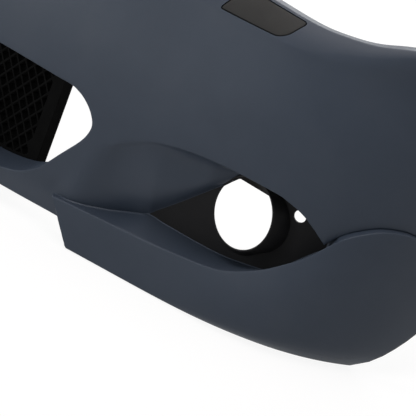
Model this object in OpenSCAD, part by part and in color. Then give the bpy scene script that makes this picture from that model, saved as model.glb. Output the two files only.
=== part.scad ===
// Front bumper cover for a saloon car, with its grille, fog lamp bezels and headlamp washers.
// Millimetres. The front faces -Y, +X is the car's left side and the cover stands on its lower lips.

/* [Skin] */
// Half width of the nose's middle, along its curve
nose_half = 360; // [345:5:390]
// Wall thickness of the moulded skin
wall = 3.2; // [2.8:0.1:3.6]
// Width of the flange along the top edge
top_flange = 20; // [14:1:24]
// Width of the hem under the lower edges
lower_hem = 14; // [8:1:18]
// Width of the flange along the wheel arch
arch_flange = 18; // [10:1:20]

/* [Grille] */
// Width of one diamond cell, centre to centre
cell_w = 19; // [18:0.5:30]
// Height of one diamond cell, centre to centre
cell_h = 22; // [20:0.5:34]
// Thickness of the grille bars
bar_w = 3; // [2:0.5:5]
// Depth of the grille from front to back
grille_depth = 16; // [12:1:20]
// Width of the plain post at each end of the grille
post_w = 21; // [18:1:36]
// Height of the plain rail along the grille's edges
rail_h = 7; // [5:1:12]

/* [Fog lamp bezel] */
// Radius of the fog lamp's seat
fog_r = 45; // [40:0.5:46]
// Wall of the collar around the seat
collar_wall = 2.2; // [1.6:0.2:2.6]
// Length of the seat
seat_len = 6; // [5:0.5:8]
// Upward tilt of the seat's axis
fog_tilt = 6; // [0:1:8]
// Thickness of the bezel's base plate
bezel_wall = 3.5; // [2.5:0.5:4]
// Gap between the bezel and the skin
bezel_gap = 0.5; // [0.4:0.1:0.8]
// Radius of the aiming hole in the bezel
aim_r = 8; // [5:0.5:9]

/* [Headlamp washer] */
// How far the washer's cap comes out
washer_travel = 65; // [40:1:68]
// Gap between the cap and the skin
cap_gap = 1.2; // [1:0.1:2]
// Thickness of the cap
cap_wall = 4; // [3:0.5:5]
// Radius of the piston's rod
rod_r = 6; // [5:0.5:6.5]
// Radius of the piston's head
head_r = 9; // [8.8:0.1:9.4]
// Running clearance of the piston in its cylinder
slide_gap = 0.15; // [0.1:0.05:0.25]
// Wall of the washer's cylinder
cylinder_wall = 2.8; // [2:0.2:3.4]
// Radius of the spring's wire
wire_r = 0.7; // [0.5:0.1:0.8]
// Turns of the return spring
spring_turns = 12; // [8:1:14]

/* [Mounting strips] */
// Radius of the bolt holes in the upper strip and the side rails
bolt_r = 4.5; // [3:0.25:5]
// Radius of the screw holes for the undertray
screw_r = 3; // [2.5:0.25:3.5]
// Thickness of the strips where they lie on the skin
strip_h = 5; // [4:0.5:6]
// Thickness of the strips' tabs
tab_t = 4; // [3:0.5:5]

/* [Hidden] */
$fn = 64;
skin_colour = [0.30, 0.33, 0.38];
trim_colour = [0.07, 0.07, 0.08];
cap_colour = [0.22, 0.22, 0.21];
steel_colour = [0.62, 0.63, 0.65];

// Curves along the cover: pairs of the distance from the middle, measured around the nose, and a value.
top_z = [[0, 468], [250, 467], [380, 452], [480, 428], [560, 405], [623, 396], [694, 390], [735, 391],
    [790, 395], [846, 404], [950, 412], [1230, 418]];
top_d = [[0, -72], [560, -71], [694, -67], [790, -62], [846, -60], [950, -54], [1230, -46]];
shoulder_z = [[0, 392], [300, 385], [480, 366], [560, 361], [686, 360], [728, 364], [770, 371],
    [813, 380], [849, 391], [950, 402], [1230, 409]];
shoulder_d = [[0, -46], [480, -45], [650, -44], [770, -47], [849, -50], [950, -47], [1230, -42]];
brow_z = [[0, 209], [308, 207], [408, 203], [429, 202.5], [442, 199], [454, 191], [464, 181.5], [472, 167.5],
    [482, 162], [500, 159], [523, 165], [555, 180], [582, 187], [609, 192], [637, 195], [689, 197],
    [736, 194], [763, 185], [787, 172], [799, 166], [811, 166], [820, 175], [832, 189], [850, 201],
    [880, 207], [918, 205], [980, 198], [1060, 192]];
intake_z = [[0, 45], [200, 46], [300, 48], [363, 51], [393, 62], [406, 71], [419, 82], [432, 97],
    [441, 110.5], [453, 124.5], [463, 140], [472, 159.5]];
bezel_z = [[572, 84], [600, 110], [626, 137], [653, 168], [664, 181.5], [672, 190], [684, 194], [700, 195],
    [736, 191], [763, 181], [787, 166], [799, 160], [811, 159], [820, 168], [832, 183.5], [850, 195],
    [880, 200], [918, 198], [980, 191], [1060, 185]];
shelf_z = [[0, 38], [300, 39], [363, 41], [400, 46], [430, 52], [455, 57], [511, 63], [534, 68],
    [559, 76], [572, 80], [593, 78], [649, 75], [688, 75], [711, 78], [734, 82], [755, 89], [775, 105],
    [790, 121], [803, 139], [812, 152], [820, 166], [832, 181], [850, 192.5], [880, 197.5],
    [918, 195], [980, 188], [1060, 182]];
lip_z = [[454, 58], [526, 61], [587, 63], [645, 68], [693, 74], [718, 83], [735, 92], [750, 101],
    [768, 115], [785, 129], [801, 145], [816, 163], [832, 179], [850, 190], [880, 195], [906, 195],
    [918, 192], [980, 185], [1060, 179]];
// The face's section: pairs of height and offset from the plan curve.
face_d = [[23, -25], [40, -19], [58, -14], [100, -9], [150, -7], [208, -9], [280, -20], [361, -43],
    [392, -47], [468, -72]];
// The rear edge along the wheel arch: pairs of height and distance around the plan.
arch_s = [[0, 898], [4, 906], [8, 912], [20, 927], [69, 975], [130, 1010], [200, 1035], [280, 1070],
    [345, 1125], [392, 1200], [410, 1222], [420, 1228]];
valance_z = 23;
grille_y = 87;
grille_gap = 0.6;

// Columns of the skin, by distance around the plan, then shares of the way to the rear edge.
cols = [0, 70, 140, 210, 270, 320, 360, 390, 410, 428, 442, 450, 454, 463, 472, 480, 492, 505, 520, 540,
    556, 564, 572, 590, 606, 622, 640, 656, 664, 682, 700, 718, 734, 748, 760, 772, 784, 796, 806, 812, 820];
rear_steps = 10;
last = len(cols) - 1 + rear_steps;
col_lip = 12;
col_tip = 14;
col_cap = [22, 28];
col_eye = [22, 39];
// Rows of the skin from the top flange to the lower hem.
row_names = ["flange", "top", "cap top", "cap foot", "shoulder", "face 1", "face 2", "face 3", "brow",
    "upper", "under", "edge", "shelf", "lip", "lip 1", "lip 2", "lip 3", "low", "hem"];
function row_of(name) = search([name], row_names)[0];
r_top = row_of("top");
r_cap = [row_of("cap top"), row_of("cap foot")];
r_shoulder = row_of("shoulder");
r_brow = row_of("brow");
r_upper = row_of("upper");
r_under = row_of("under");
r_edge = row_of("edge");
r_shelf = row_of("shelf");
r_lip = row_of("lip");
r_low = row_of("low");
rows = len(row_names);
cap_t = [0.08, 0.93];

function smooth(t) = let (c = min(1, max(0, t))) c * c * (3 - 2 * c);
function ramp(s, a, b) = smooth((s - a) / (b - a));
function mix(a, b, t) = a + (b - a) * t;
function unit(v) = v / norm(v);
function sum(v, i = 0) = i < len(v) ? v[i] + sum(v, i + 1) : 0;
function span(c, x, i = 0) = i >= len(c) - 2 || x < c[i + 1][0] ? i : span(c, x, i + 1);
function slope(c, i) =
    let (a = max(0, i - 1), b = min(len(c) - 1, i + 1))
    (c[b][1] - c[a][1]) / (c[b][0] - c[a][0]);
// Smooth curve through the pairs of c
function curve(c, at) =
    let (x = min(max(at, c[0][0]), c[len(c) - 1][0]), i = span(c, x), h = c[i + 1][0] - c[i][0],
        t = (x - c[i][0]) / h)
    (2 * t * t * t - 3 * t * t + 1) * c[i][1] + (t * t * t - 2 * t * t + t) * h * slope(c, i)
    + (3 * t * t - 2 * t * t * t) * c[i + 1][1] + (t * t * t - t * t) * h * slope(c, i + 1);

// Plan curve of the cover: its direction, and its points from the nose back
function turn(s) = 17 * smooth(s / 480) + 60 * smooth((s - 628) / 390) + 8 * smooth((s - 1018) / 300);
plan_step = 5;
// The stretch that widens with the nose
nose_s = 360;
function stretch(s) = s < nose_s ? nose_half / nose_s : 1;
plan = [for (i = 0, x = 0, y = 0; i <= 280;
    x = x + plan_step * cos(turn((i + 0.5) * plan_step)) * stretch((i + 0.5) * plan_step),
    y = y + plan_step * sin(turn((i + 0.5) * plan_step)), i = i + 1) [x, y]];
function plan_at(s) = let (k = min(279, floor(s / plan_step))) mix(plan[k], plan[k + 1], s / plan_step - k);
function spot(s, dz) =
    let (p = plan_at(s), a = turn(s)) [p[0] + dz[0] * sin(a), p[1] - dz[0] * cos(a), dz[1]];

// Plane of the fog lamp bezel
bezel_turn = 19.5;
nose_grow = plan_at(nose_s)[0] * (1 - nose_s / nose_half);
bezel_at = [548 + nose_grow, 136, 82];
bezel_out = [sin(bezel_turn), -cos(bezel_turn), 0];
function on_bezel(s) =
    let (p = plan_at(s), a = turn(s))
    ([bezel_at[0] - p[0], bezel_at[1] - p[1]] * [bezel_out[0], bezel_out[1]]) / cos(a - bezel_turn);

// Offsets of the main lines from the plan curve
function face(s, z) =
    let (zc = curve(shoulder_z, s), up = min(1, max(0, (z - 200) / (zc - 200))))
    curve(face_d, z) + (curve(shoulder_d, s) - curve(face_d, zc)) * up * up
    + 4 * ramp(s, 811, 900) * (1 - up);
function brow_d(s) = face(s, curve(brow_z, s));
function shelf_d(s) =
    let (middle = curve(face_d, curve(shelf_z, s)),
        eye = s < 560 ? -8 - 32 * ramp(s, 462, 560) : on_bezel(s))
    mix(mix(middle, eye, ramp(s, 440, 480)), brow_d(s) - 3, ramp(s, 806, 840));

// Offset and height of each kind of row
function shoulder(s, t) =
    [mix(curve(top_d, s), curve(shoulder_d, s), t) + 4.8 * t * (1 - t),
    mix(curve(top_z, s), curve(shoulder_z, s), t) + 4.8 * t * (1 - t)];
function face_row(s, t) = let (z = mix(curve(shoulder_z, s), curve(brow_z, s), t)) [face(s, z), z];
function scoop(s, f) =
    let (d = brow_d(s), z = curve(brow_z, s), a = mix(34, 86, ramp(s, 468, 560)) * f,
        b = mix(on_bezel(s), d - 3, ramp(s, 806, 840)),
        inner = [d + (shelf_d(s) - d) * sin(a), z - (z - curve(shelf_z, s)) * (1 - cos(a))],
        outer = [d + (b - d) * sin(90 * f), z - (z - curve(bezel_z, s)) * (1 - cos(90 * f))])
    mix(inner, outer, ramp(s, 560, 580));
function lip_d(s) = 3 * ramp(s, 735, 800) * (1 - ramp(s, 880, 1000));
function lip_row(s, k) =
    let (z = curve(lip_z, s), d = lip_d(s), r = ramp(s, 600, 780))
    k == 0 ? [d, z]
    : k == 1 ? [d + mix(0.6, 8, r), 0.68 * z]
    : k == 2 ? [d + mix(0.6, 10, r), 0.34 * z]
    : k == 3 ? [d + mix(0.4, 5, r), 0.12 * z]
    : k == 4 ? [-6 * r, r]
    : [-6 * r - lower_hem, 5 + r];
function valance_row(s, k) =
    k == 5 ? [curve(face_d, valance_z) - lower_hem, valance_z + 6]
    : let (z = mix(curve(shelf_z, s), valance_z, k < 4 ? 0.13 * (k + 1) : 1)) [curve(face_d, z), z];
function row(k, s, lip) =
    k == 0 ? [curve(top_d, s) - top_flange, curve(top_z, s) - 2]
    : k == r_top ? [curve(top_d, s), curve(top_z, s)]
    : k <= r_cap[1] ? shoulder(s, mix(cap_t[k - r_cap[0]], [0.5, 0.82][k - r_cap[0]], ramp(s, 735, 840)))
    : k < r_brow ? face_row(s, (k - r_shoulder) / (r_brow - r_shoulder))
    : k == r_brow ? [brow_d(s), curve(brow_z, s)]
    : k <= r_edge ? scoop(s, (k - r_brow) / (r_edge - r_brow))
    : k == r_shelf ? [shelf_d(s), curve(shelf_z, s)]
    : lip ? lip_row(s, k - r_lip) : valance_row(s, k - r_lip);

// Where a row ends at the wheel arch, and where column j lies on row k
function row_end(k, s = 1000, n = 8) = n == 0 ? s : row_end(k, curve(arch_s, row(k, s, true)[1]), n - 1);
ends = [for (k = [0 : rows - 1]) row_end(k == 0 ? r_top : k == rows - 1 ? r_low : k)];
lean = [for (k = [0 : rows - 1]) k == r_cap[0] ? 16 : k == r_cap[1] ? -5 : k < r_lip + 1 ? 0
    : min(37, 14 * (k - r_lip))];
function leaning(s, k) =
    k <= r_cap[1] ? ramp(s, 520, 560) * (1 - ramp(s, 672, 740)) : ramp(s, 400, 452) * (1 - ramp(s, 458, 600));
function at_s(j, k) =
    j < len(cols) ? cols[j] + lean[k] * leaning(cols[j], k)
    : mix(cols[len(cols) - 1], ends[k], (j - len(cols) + 1) / rear_steps);
// Points of the intake's surround: straight back from its edge to the grille
function surround(s, upper) =
    let (z = upper ? curve(brow_z, s) : curve(intake_z, s), e = spot(s, [face(s, z), z]))
    [e[0], mix(grille_y, e[1] + wall + 2, ramp(s, 400, 440)), z + (upper ? -3 : 6)];
function skin_point(j, k) =
    let (s = at_s(min(j, last), k))
    j > last ? spot(s, row(k, s, true) - [3 + (arch_flange - 3) * sin(180 * (k - 1) / (r_low - 1)), 0])
    : j < col_tip && k == r_upper ? surround(s, true)
    : j < col_tip && k == r_under ? surround(s, false)
    : j < col_tip && k == r_edge ? let (z = curve(intake_z, s)) spot(s, [face(s, z), z])
    : spot(s, row(k, s, j >= col_lip));
half = [for (j = [0 : last + 1]) [for (k = [0 : rows - 1]) skin_point(j, k)]];

// Cells that are left open: the intake, the bezel's eye, the cap's aperture and the ends of the flanges
function open_cell(j, k) =
    (k == r_upper && j < col_tip - 1)
    || (k == r_edge && j >= col_eye[0] && j < col_eye[1])
    || (k == r_cap[0] && j >= col_cap[0] && j < col_cap[1])
    || (j == last && (k < r_shoulder || k >= r_low - 1));
function flip_x(p) = [-p[0], p[1], p[2]];
function cell_normal(j, k) =
    unit(cross(half[j + 1][k + 1] - half[j][k], half[j][k + 1] - half[j + 1][k]));
function real_cell(j, k) = j >= 0 && j <= last && k >= 0 && k < rows - 1 && !open_cell(j, k);
cell_normals = [for (j = [0 : last]) [for (k = [0 : rows - 2]) cell_normal(j, k)]];
// Unit step from the outer side to the inner one that keeps the wall's thickness around corners
function inward(j, k) =
    let (own = [for (a = [j - 1, j], b = [k - 1, k]) if (real_cell(a, b)) cell_normals[a][b]],
        near = concat(own, j == 0 ? [for (n = own) flip_x(n)] : []),
        n = len(own) == 0 ? [0, 0, 1] : unit([for (c = [0 : 2]) sum([for (v = near) v[c]])]))
    n / max(0.62, min(concat([1], [for (v = near) v * n])));
inner = [for (j = [0 : last + 1]) [for (k = [0 : rows - 1]) half[j][k] + wall * inward(j, k)]];

// Whole grid from the right rear edge to the left one
function whole(g) = concat([for (j = [last + 1 : -1 : 1]) [for (p = g[j]) flip_x(p)]], g);
n_cols = 2 * (last + 1) + 1;
function half_col(i) = i > last ? i - last - 1 : last - i;
function kept(i, k) =
    i >= 0 && i < n_cols - 1 && k >= 0 && k < rows - 1 && !open_cell(half_col(i), k);

// Depth of the whole cover, so that it can sit about the origin
front_y = min([for (k = [0 : rows - 1]) half[0][k][1]]);
rear_y = max([for (k = [0 : rows - 1]) max(half[last][k][1], half[last + 1][k][1])]);
origin = [0, (front_y + rear_y) / 2, 0];

// A shell between two grids of points, without the cells that keep leaves out
module shell(outer, under, all = false) {
    nc = len(outer);
    nr = len(outer[0]);
    function has(i, k) = i >= 0 && i < nc - 1 && k >= 0 && k < nr - 1 && (all || kept(i, k));
    function o(i, k) = i * nr + k;
    function u(i, k) = nc * nr + i * nr + k;
    function wallface(i, k, m, n) = [[o(m, n), o(i, k), u(i, k)], [o(m, n), u(i, k), u(m, n)]];
    polyhedron(
        [each [for (c = outer) each c], each [for (c = under) each c]],
        [for (i = [0 : nc - 2], k = [0 : nr - 2]) if (has(i, k)) each concat(
            [[o(i, k), o(i + 1, k), o(i + 1, k + 1)], [o(i, k), o(i + 1, k + 1), o(i, k + 1)]],
            [[u(i, k), u(i + 1, k + 1), u(i + 1, k)], [u(i, k), u(i, k + 1), u(i + 1, k + 1)]],
            has(i, k - 1) ? [] : wallface(i, k, i + 1, k),
            has(i + 1, k) ? [] : wallface(i + 1, k, i + 1, k + 1),
            has(i, k + 1) ? [] : wallface(i + 1, k + 1, i, k + 1),
            has(i - 1, k) ? [] : wallface(i, k + 1, i, k))],
        convexity = 10);
}

// Outline of the bezel's eye on its own plane, from the skin's edges
function on_plane(p) = [(p - bezel_at) * [cos(bezel_turn), sin(bezel_turn), 0], p[2] - bezel_at[2]];
eye_upper = [for (j = [col_eye[0] : col_eye[1]]) on_plane(half[j][r_edge]) - [0, bezel_gap]];
eye_lower = [for (j = [col_eye[1] : -1 : col_eye[0]]) on_plane(half[j][r_shelf]) + [0, bezel_gap]];
eye_outline = [for (p = concat(eye_upper, eye_lower))
    [min(max(p[0], eye_upper[0][0] + bezel_gap), eye_lower[0][0] - bezel_gap), p[1]]];
bezel_back = 0.3;
fog_at = [667 + nose_grow, 160, 146];
collar_len = 60;
aim_x = 722 + nose_grow;
aim_at = on_plane([aim_x, 0, 168]) + [(aim_x - bezel_at[0]) / cos(bezel_turn) * sin(bezel_turn) ^ 2, 0];

// Washer: its cap on the shoulder, its axis square to the cap
function cap_point(a, b) =
    let (edge = cap_gap / 42, t = mix(cap_t[0] + edge, cap_t[1] - edge, b),
        from = mix(at_s(col_cap[0], r_cap[0]), at_s(col_cap[0], r_cap[1]), b) + cap_gap,
        to = mix(at_s(col_cap[1], r_cap[0]), at_s(col_cap[1], r_cap[1]), b) - cap_gap, s = mix(from, to, a))
    spot(s, shoulder(s, t));
washer_at = cap_point(0.5, 0.5);
washer_u = unit(cap_point(1, 0.5) - cap_point(0, 0.5));
washer_w = unit(cross(washer_u, cap_point(0.5, 0) - cap_point(0.5, 1)));
washer_v = cross(washer_w, washer_u);
boss_end = 14;
gland_at = 30;
gland_len = 10;
head_len = 8;
head_back = gland_at + gland_len + washer_travel + head_len + 2 * wire_r * spring_turns + 0.2;
bore_end = head_back + 5;
cylinder_r = head_r + slide_gap + cylinder_wall;
flange_at = 72;
flange_size = [56, 30, 3];
plate_size = [60, 42, 3];
washer_screw_r = 2;
washer_screw_u = 21;
screw_gap = 0.2;
function in_washer(p) = let (q = p - washer_at) [q * washer_u, q * washer_v, q * washer_w];

// Grille: its outline from the back edge of the intake's surround
col_post = 7;
post_lean = 0.058;
function post_x(z) = 374 + post_lean * z;
grille_top = [for (j = [0 : col_post - 1]) half[j][r_upper] + [0, 0, wall]];
grille_low = [for (j = [0 : col_post - 1]) half[j][r_under] - [0, 0, wall]];
post_top = half[col_post][r_upper][2] + wall;
post_low = half[col_post][r_under][2] - wall;
right_side = concat([for (p = grille_low) [p[0], p[2]]], [[post_x(post_low), post_low]],
    [[post_x(post_top), post_top]], [for (i = [col_post - 1 : -1 : 0]) [grille_top[i][0], grille_top[i][2]]]);
grille_outline = concat(right_side, [for (i = [len(right_side) - 2 : -1 : 1])
    [-right_side[i][0], right_side[i][1]]]);
cell_share = 1 - bar_w * norm([cell_w, cell_h]) / (cell_w * cell_h);
cell_mid = 128;
function grille_floor(x) = curve([for (p = grille_low) [p[0], p[2]]], abs(x)) + rail_h;
function grille_roof(x) = curve([for (p = grille_top) [p[0], p[2]]], abs(x)) - rail_h;
// The part of a convex outline on the near side of a line
function clip(shape, dir, at) = [for (i = [0 : len(shape) - 1])
    let (p = shape[i], q = shape[(i + 1) % len(shape)], a = p * dir - at, b = q * dir - at)
    each concat(a <= 0 ? [p] : [], a * b < 0 ? [mix(p, q, a / (a - b))] : [])];
function area(shape) = sum([for (i = [0 : len(shape) - 1])
    let (p = shape[i], q = shape[(i + 1) % len(shape)]) (p[0] * q[1] - q[0] * p[1]) / 2]);
function cell(x, z) =
    let (w = cell_w / 2 * cell_share, h = cell_h / 2 * cell_share, side = x < 0 ? -1 : 1,
        up = grille_roof(x + 1) - grille_roof(x), down = grille_floor(x + 1) - grille_floor(x),
        whole = [[x + w, z], [x, z + h], [x - w, z], [x, z - h]],
        low = clip(whole, [down, -1], down * x - grille_floor(x)),
        both = len(low) < 3 ? [] : clip(low, [-up, 1], grille_roof(x) - up * x))
    len(both) < 3 ? [] : clip(both, [side, -post_lean], post_x(0) - post_w);
cells = [for (k = [-8 : 8], i = [-20 : 20])
    let (c = cell((i + (abs(k) % 2) / 2) * cell_w, cell_mid + k * cell_h / 2))
    if (len(c) > 2 && area(c) > 0.2 * cell_w * cell_h / 2 * cell_share ^ 2) c];
clip_x = [-330, -180, 0, 180, 330];
clip_w = 16;
clip_t = 1.5;

// Strips: their holes, and the plane that their tabs share
upper_x = [-230, -90, 90, 230];
upper_y = 138;
tray_x = [-330, -120, 120, 330];
tray_y = 108;
tray_z = valance_z + 10.5;
tab_w = 30;
// How far behind the plan the tabs start, and how far past their holes they end
upper_root = 82;
tray_root = 33;
upper_end = 13;
tray_end = 12;
rail_tab = 26;
rail_cols = [last - 6, last - 1];
rail_step = 48;
rail_at = let (p = inner[last - 4][0]) [p[0] - 18, p[1]];
nut_t = 1.2;
nut_r = 2.6;
nut_len = 22;
nut_w = 18;
nut_gap = 0.1;
function lowest(a, b) = min([for (j = [a : b]) min(inner[j][0][2], inner[j][1][2])]);
upper_z = lowest(0, 4) - 0.8;
rail_z = lowest(rail_cols[0], rail_cols[1]) - 0.8;

module placed() {
    translate(-origin) children();
}

module bezel_frame() {
    translate(bezel_at) rotate([0, 0, bezel_turn]) rotate([90, 0, 0]) children();
}

module seat_frame() {
    translate(fog_at) rotate([90 - fog_tilt, 0, 0]) children();
}

module washer_frame() {
    multmatrix([
        [washer_u[0], washer_v[0], washer_w[0], washer_at[0]],
        [washer_u[1], washer_v[1], washer_w[1], washer_at[1]],
        [washer_u[2], washer_v[2], washer_w[2], washer_at[2]]])
        children();
}

// The other side of the car
module other_side() {
    mirror([1, 0, 0]) children();
}

// A layer that lies on the inner side of the skin, between half columns a and b and rows k and n
module lining(a, b, k, n, h, both = false) {
    part = [for (j = [a : b]) [for (m = [k : n]) inner[j][m]]];
    deep = [for (j = [a : b]) [for (m = [k : n]) inner[j][m] + h * inward(j, m)]];
    function two(g) = both ? concat([for (j = [len(g) - 1 : -1 : 1]) [for (p = g[j]) flip_x(p)]], g) : g;
    shell(two(part), two(deep), all = true);
}

module bumper_skin() {
    color(skin_colour)
    placed()
        shell(whole(half), whole(inner));
}

module centre_grille() {
    color(trim_colour)
    placed()
        translate([0, grille_y + grille_gap + grille_depth, 0])
        rotate([90, 0, 0])
        linear_extrude(grille_depth)
        difference() {
            polygon(grille_outline);
            for (c = cells)
                polygon(c);
        }
}

module grille_clips() {
    color(steel_colour)
    placed()
        for (x = clip_x)
            translate([x - clip_w / 2, grille_y - 7, curve(brow_z, abs(x)) - 3 + wall + 0.7]) {
                cube([clip_w, grille_gap + grille_depth + 7 + clip_t, clip_t]);
                translate([0, grille_gap + grille_depth + 7, -14])
                    cube([clip_w, clip_t, 14 + clip_t]);
            }
}

module fog_bezel() {
    back = bezel_back + bezel_wall;
    color(trim_colour)
    placed()
        difference() {
            union() {
                bezel_frame()
                    translate([0, 0, -back])
                    linear_extrude(bezel_wall)
                    polygon(eye_outline);
                difference() {
                    seat_frame()
                        translate([0, 0, -collar_len])
                        cylinder(h = collar_len, r = fog_r + collar_wall);
                    bezel_frame()
                        translate([-100, -100, -back - 200])
                        cube([500, 300, 200]);
                }
                seat_frame()
                    translate([0, 0, -seat_len])
                    cylinder(h = seat_len, r = fog_r + collar_wall);
            }
            seat_frame()
                translate([0, 0, -2 * collar_len])
                cylinder(h = 3 * collar_len, r = fog_r);
            bezel_frame()
                translate([aim_at[0], aim_at[1], -2 * back])
                cylinder(h = 3 * back, r = aim_r);
        }
}

module washer_cap() {
    grid = [for (a = [0 : 7]) [for (b = [0 : 3]) cap_point(a / 7, b / 3)]];
    deep = [for (c = grid) [for (p = c) p - cap_wall * washer_w]];
    color(cap_colour)
    placed()
        union() {
            shell(grid, deep, all = true);
            washer_frame()
                translate([0, 0, -boss_end])
                cylinder(h = boss_end - 2, r = rod_r + 4);
        }
}

module washer_piston() {
    color(trim_colour)
    placed()
        washer_frame() {
            translate([0, 0, -head_back])
                cylinder(h = head_back - boss_end, r = rod_r);
            translate([0, 0, -head_back])
                cylinder(h = head_len, r = head_r);
        }
}

module washer_spring() {
    coil_r = (rod_r + head_r + slide_gap) / 2;
    low = head_len - head_back + wire_r + 0.05;
    high = -gland_at - gland_len - wire_r - 0.05;
    steps = 14 * spring_turns;
    rings = [for (i = [0 : steps]) let (a = i * 360 / 14)
        [for (q = [0 : 60 : 300])
            [(coil_r + wire_r * cos(q)) * cos(a), (coil_r + wire_r * cos(q)) * sin(a),
            mix(low, high, i / steps) + wire_r * sin(q)]]];
    color(steel_colour)
    placed()
        washer_frame()
        polyhedron(
            [for (r = rings) each r],
            concat([[0, 1, 2, 3, 4, 5]], [[for (q = [5 : -1 : 0]) steps * 6 + q]],
                [for (i = [0 : steps - 1], q = [0 : 5]) each
                    let (a = i * 6 + q, b = i * 6 + (q + 1) % 6)
                    [[a, a + 6, b], [b, a + 6, b + 6]]]));
}

module washer_cylinder() {
    color(trim_colour)
    placed()
        washer_frame()
        difference() {
            union() {
                translate([0, 0, -bore_end - 4])
                    cylinder(h = bore_end + 4 - gland_at, r = cylinder_r);
                translate([-flange_size[0] / 2, -flange_size[1] / 2, -flange_at - flange_size[2]])
                    cube(flange_size);
                translate([0, 0, -bore_end - 20])
                    cylinder(h = 18, r = 4);
            }
            translate([0, 0, -bore_end])
                cylinder(h = bore_end - gland_at - gland_len, r = head_r + slide_gap);
            translate([0, 0, -gland_at - gland_len - 1])
                cylinder(h = gland_len + 2, r = rod_r + slide_gap);
            translate([0, 0, -bore_end - 30])
                cylinder(h = 40, r = 2.2);
            for (u = [-washer_screw_u, washer_screw_u])
                translate([u, 0, -flange_at - 10])
                cylinder(h = 20, r = washer_screw_r + screw_gap);
        }
}

module washer_bracket() {
    foot = [24, 26];
    upper = in_washer(inner[25][r_shoulder]);
    lower = in_washer(inner[25][r_shoulder + 1]);
    color(trim_colour)
    placed()
        union() {
            lining(foot[0] - 1, foot[1] + 1, r_shoulder, r_shoulder + 1, strip_h);
            washer_frame()
                difference() {
                    union() {
                        translate([-plate_size[0] / 2, -plate_size[1] / 2, -flange_at])
                            cube(plate_size);
                        for (u = [-22, 19])
                            translate([u, 0, 0])
                            rotate([90, 0, 90])
                            linear_extrude(3)
                            polygon([[upper[1], upper[2] - 3], [lower[1], lower[2] - 3],
                                [-plate_size[1] / 2, -flange_at], [-plate_size[1] / 2 + 3, -flange_at],
                                [-plate_size[1] / 2 + 3, -flange_at + 3]]);
                    }
                    translate([0, 0, -flange_at - 1])
                        cylinder(h = 10, r = cylinder_r + screw_gap);
                    for (u = [-washer_screw_u, washer_screw_u])
                        translate([u, 0, -flange_at - 1])
                        cylinder(h = 10, r = washer_screw_r + screw_gap);
                }
        }
}

module washer_screws() {
    color(steel_colour)
    placed()
        washer_frame()
        for (u = [-washer_screw_u, washer_screw_u])
            translate([u, 0, -flange_at]) {
                translate([0, 0, -9])
                    cylinder(h = 9 + plate_size[2] + 1, r = washer_screw_r);
                translate([0, 0, plate_size[2]])
                    cylinder(h = 2.5, r = 2 * washer_screw_r);
            }
}

module upper_strip() {
    color(trim_colour)
    placed()
        difference() {
            union() {
                lining(0, 4, 0, 1, strip_h, both = true);
                for (x = upper_x)
                    translate([x - tab_w / 2, plan_at(abs(x))[1] + upper_root, upper_z - tab_t])
                    cube([tab_w, upper_y + upper_end - plan_at(abs(x))[1] - upper_root, tab_t]);
            }
            for (x = upper_x)
                translate([x, upper_y, upper_z - 5 * tab_t])
                cylinder(h = 10 * tab_t, r = bolt_r);
        }
}

module side_rail() {
    color(trim_colour)
    placed()
        difference() {
            union() {
                lining(rail_cols[0], rail_cols[1], 0, 1, strip_h + 2);
                for (n = [-1 : 1])
                    translate([rail_at[0], rail_at[1] + n * rail_step, rail_z - tab_t])
                    translate([-rail_tab / 2, -rail_tab / 2, 0])
                    cube([rail_tab + 10 + 9 * n, rail_tab, tab_t]);
            }
            for (n = [-1 : 1])
                translate([rail_at[0], rail_at[1] + n * rail_step, rail_z - 5 * tab_t])
                cylinder(h = 10 * tab_t, r = bolt_r);
        }
}

module undertray_strip() {
    color(trim_colour)
    placed()
        difference() {
            union() {
                lining(0, 8, r_low, r_low + 1, strip_h, both = true);
                for (x = tray_x)
                    translate([x - tab_w / 2, plan_at(abs(x))[1] + tray_root, tray_z])
                    cube([tab_w, tray_y + tray_end - plan_at(abs(x))[1] - tray_root, tab_t]);
            }
            for (x = tray_x)
                translate([x, tray_y, tray_z - 5 * tab_t])
                cylinder(h = 10 * tab_t, r = screw_r);
        }
}

module undertray_nuts() {
    color(steel_colour)
    placed()
        for (x = tray_x)
            translate([x, tray_y + tray_end + nut_gap + nut_t - nut_len, tray_z - nut_gap - nut_t])
            difference() {
                translate([-nut_w / 2, 0, 0])
                    cube([nut_w, nut_len, tab_t + 2 * nut_gap + 2 * nut_t]);
                translate([-nut_w / 2 - 1, -1, nut_t])
                    cube([nut_w + 2, nut_len + 1 - nut_t, tab_t + 2 * nut_gap]);
                translate([0, nut_len - nut_t - nut_gap - tray_end, -1])
                    cylinder(h = 5 * tab_t, r = nut_r);
            }
}

bumper_skin();
centre_grille();
grille_clips();
fog_bezel();  // fog_bezel_left
other_side() fog_bezel();  // fog_bezel_right
washer_cap();  // washer_cap_left
other_side() washer_cap();  // washer_cap_right
washer_piston();  // washer_piston_left
other_side() washer_piston();  // washer_piston_right
washer_spring();  // washer_spring_left
other_side() washer_spring();  // washer_spring_right
washer_cylinder();  // washer_cylinder_left
other_side() washer_cylinder();  // washer_cylinder_right
washer_bracket();  // washer_bracket_left
other_side() washer_bracket();  // washer_bracket_right
washer_screws();  // washer_screws_left
other_side() washer_screws();  // washer_screws_right
upper_strip();
side_rail();  // side_rail_left
other_side() side_rail();  // side_rail_right
undertray_strip();
undertray_nuts();
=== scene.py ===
"""Looks of a front bumper cover: fine skin, mesh grille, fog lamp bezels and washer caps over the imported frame."""

import math

import bmesh
import bpy
import numpy as np
from mathutils import Matrix, Vector
from mathutils.geometry import delaunay_2d_cdt


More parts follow.
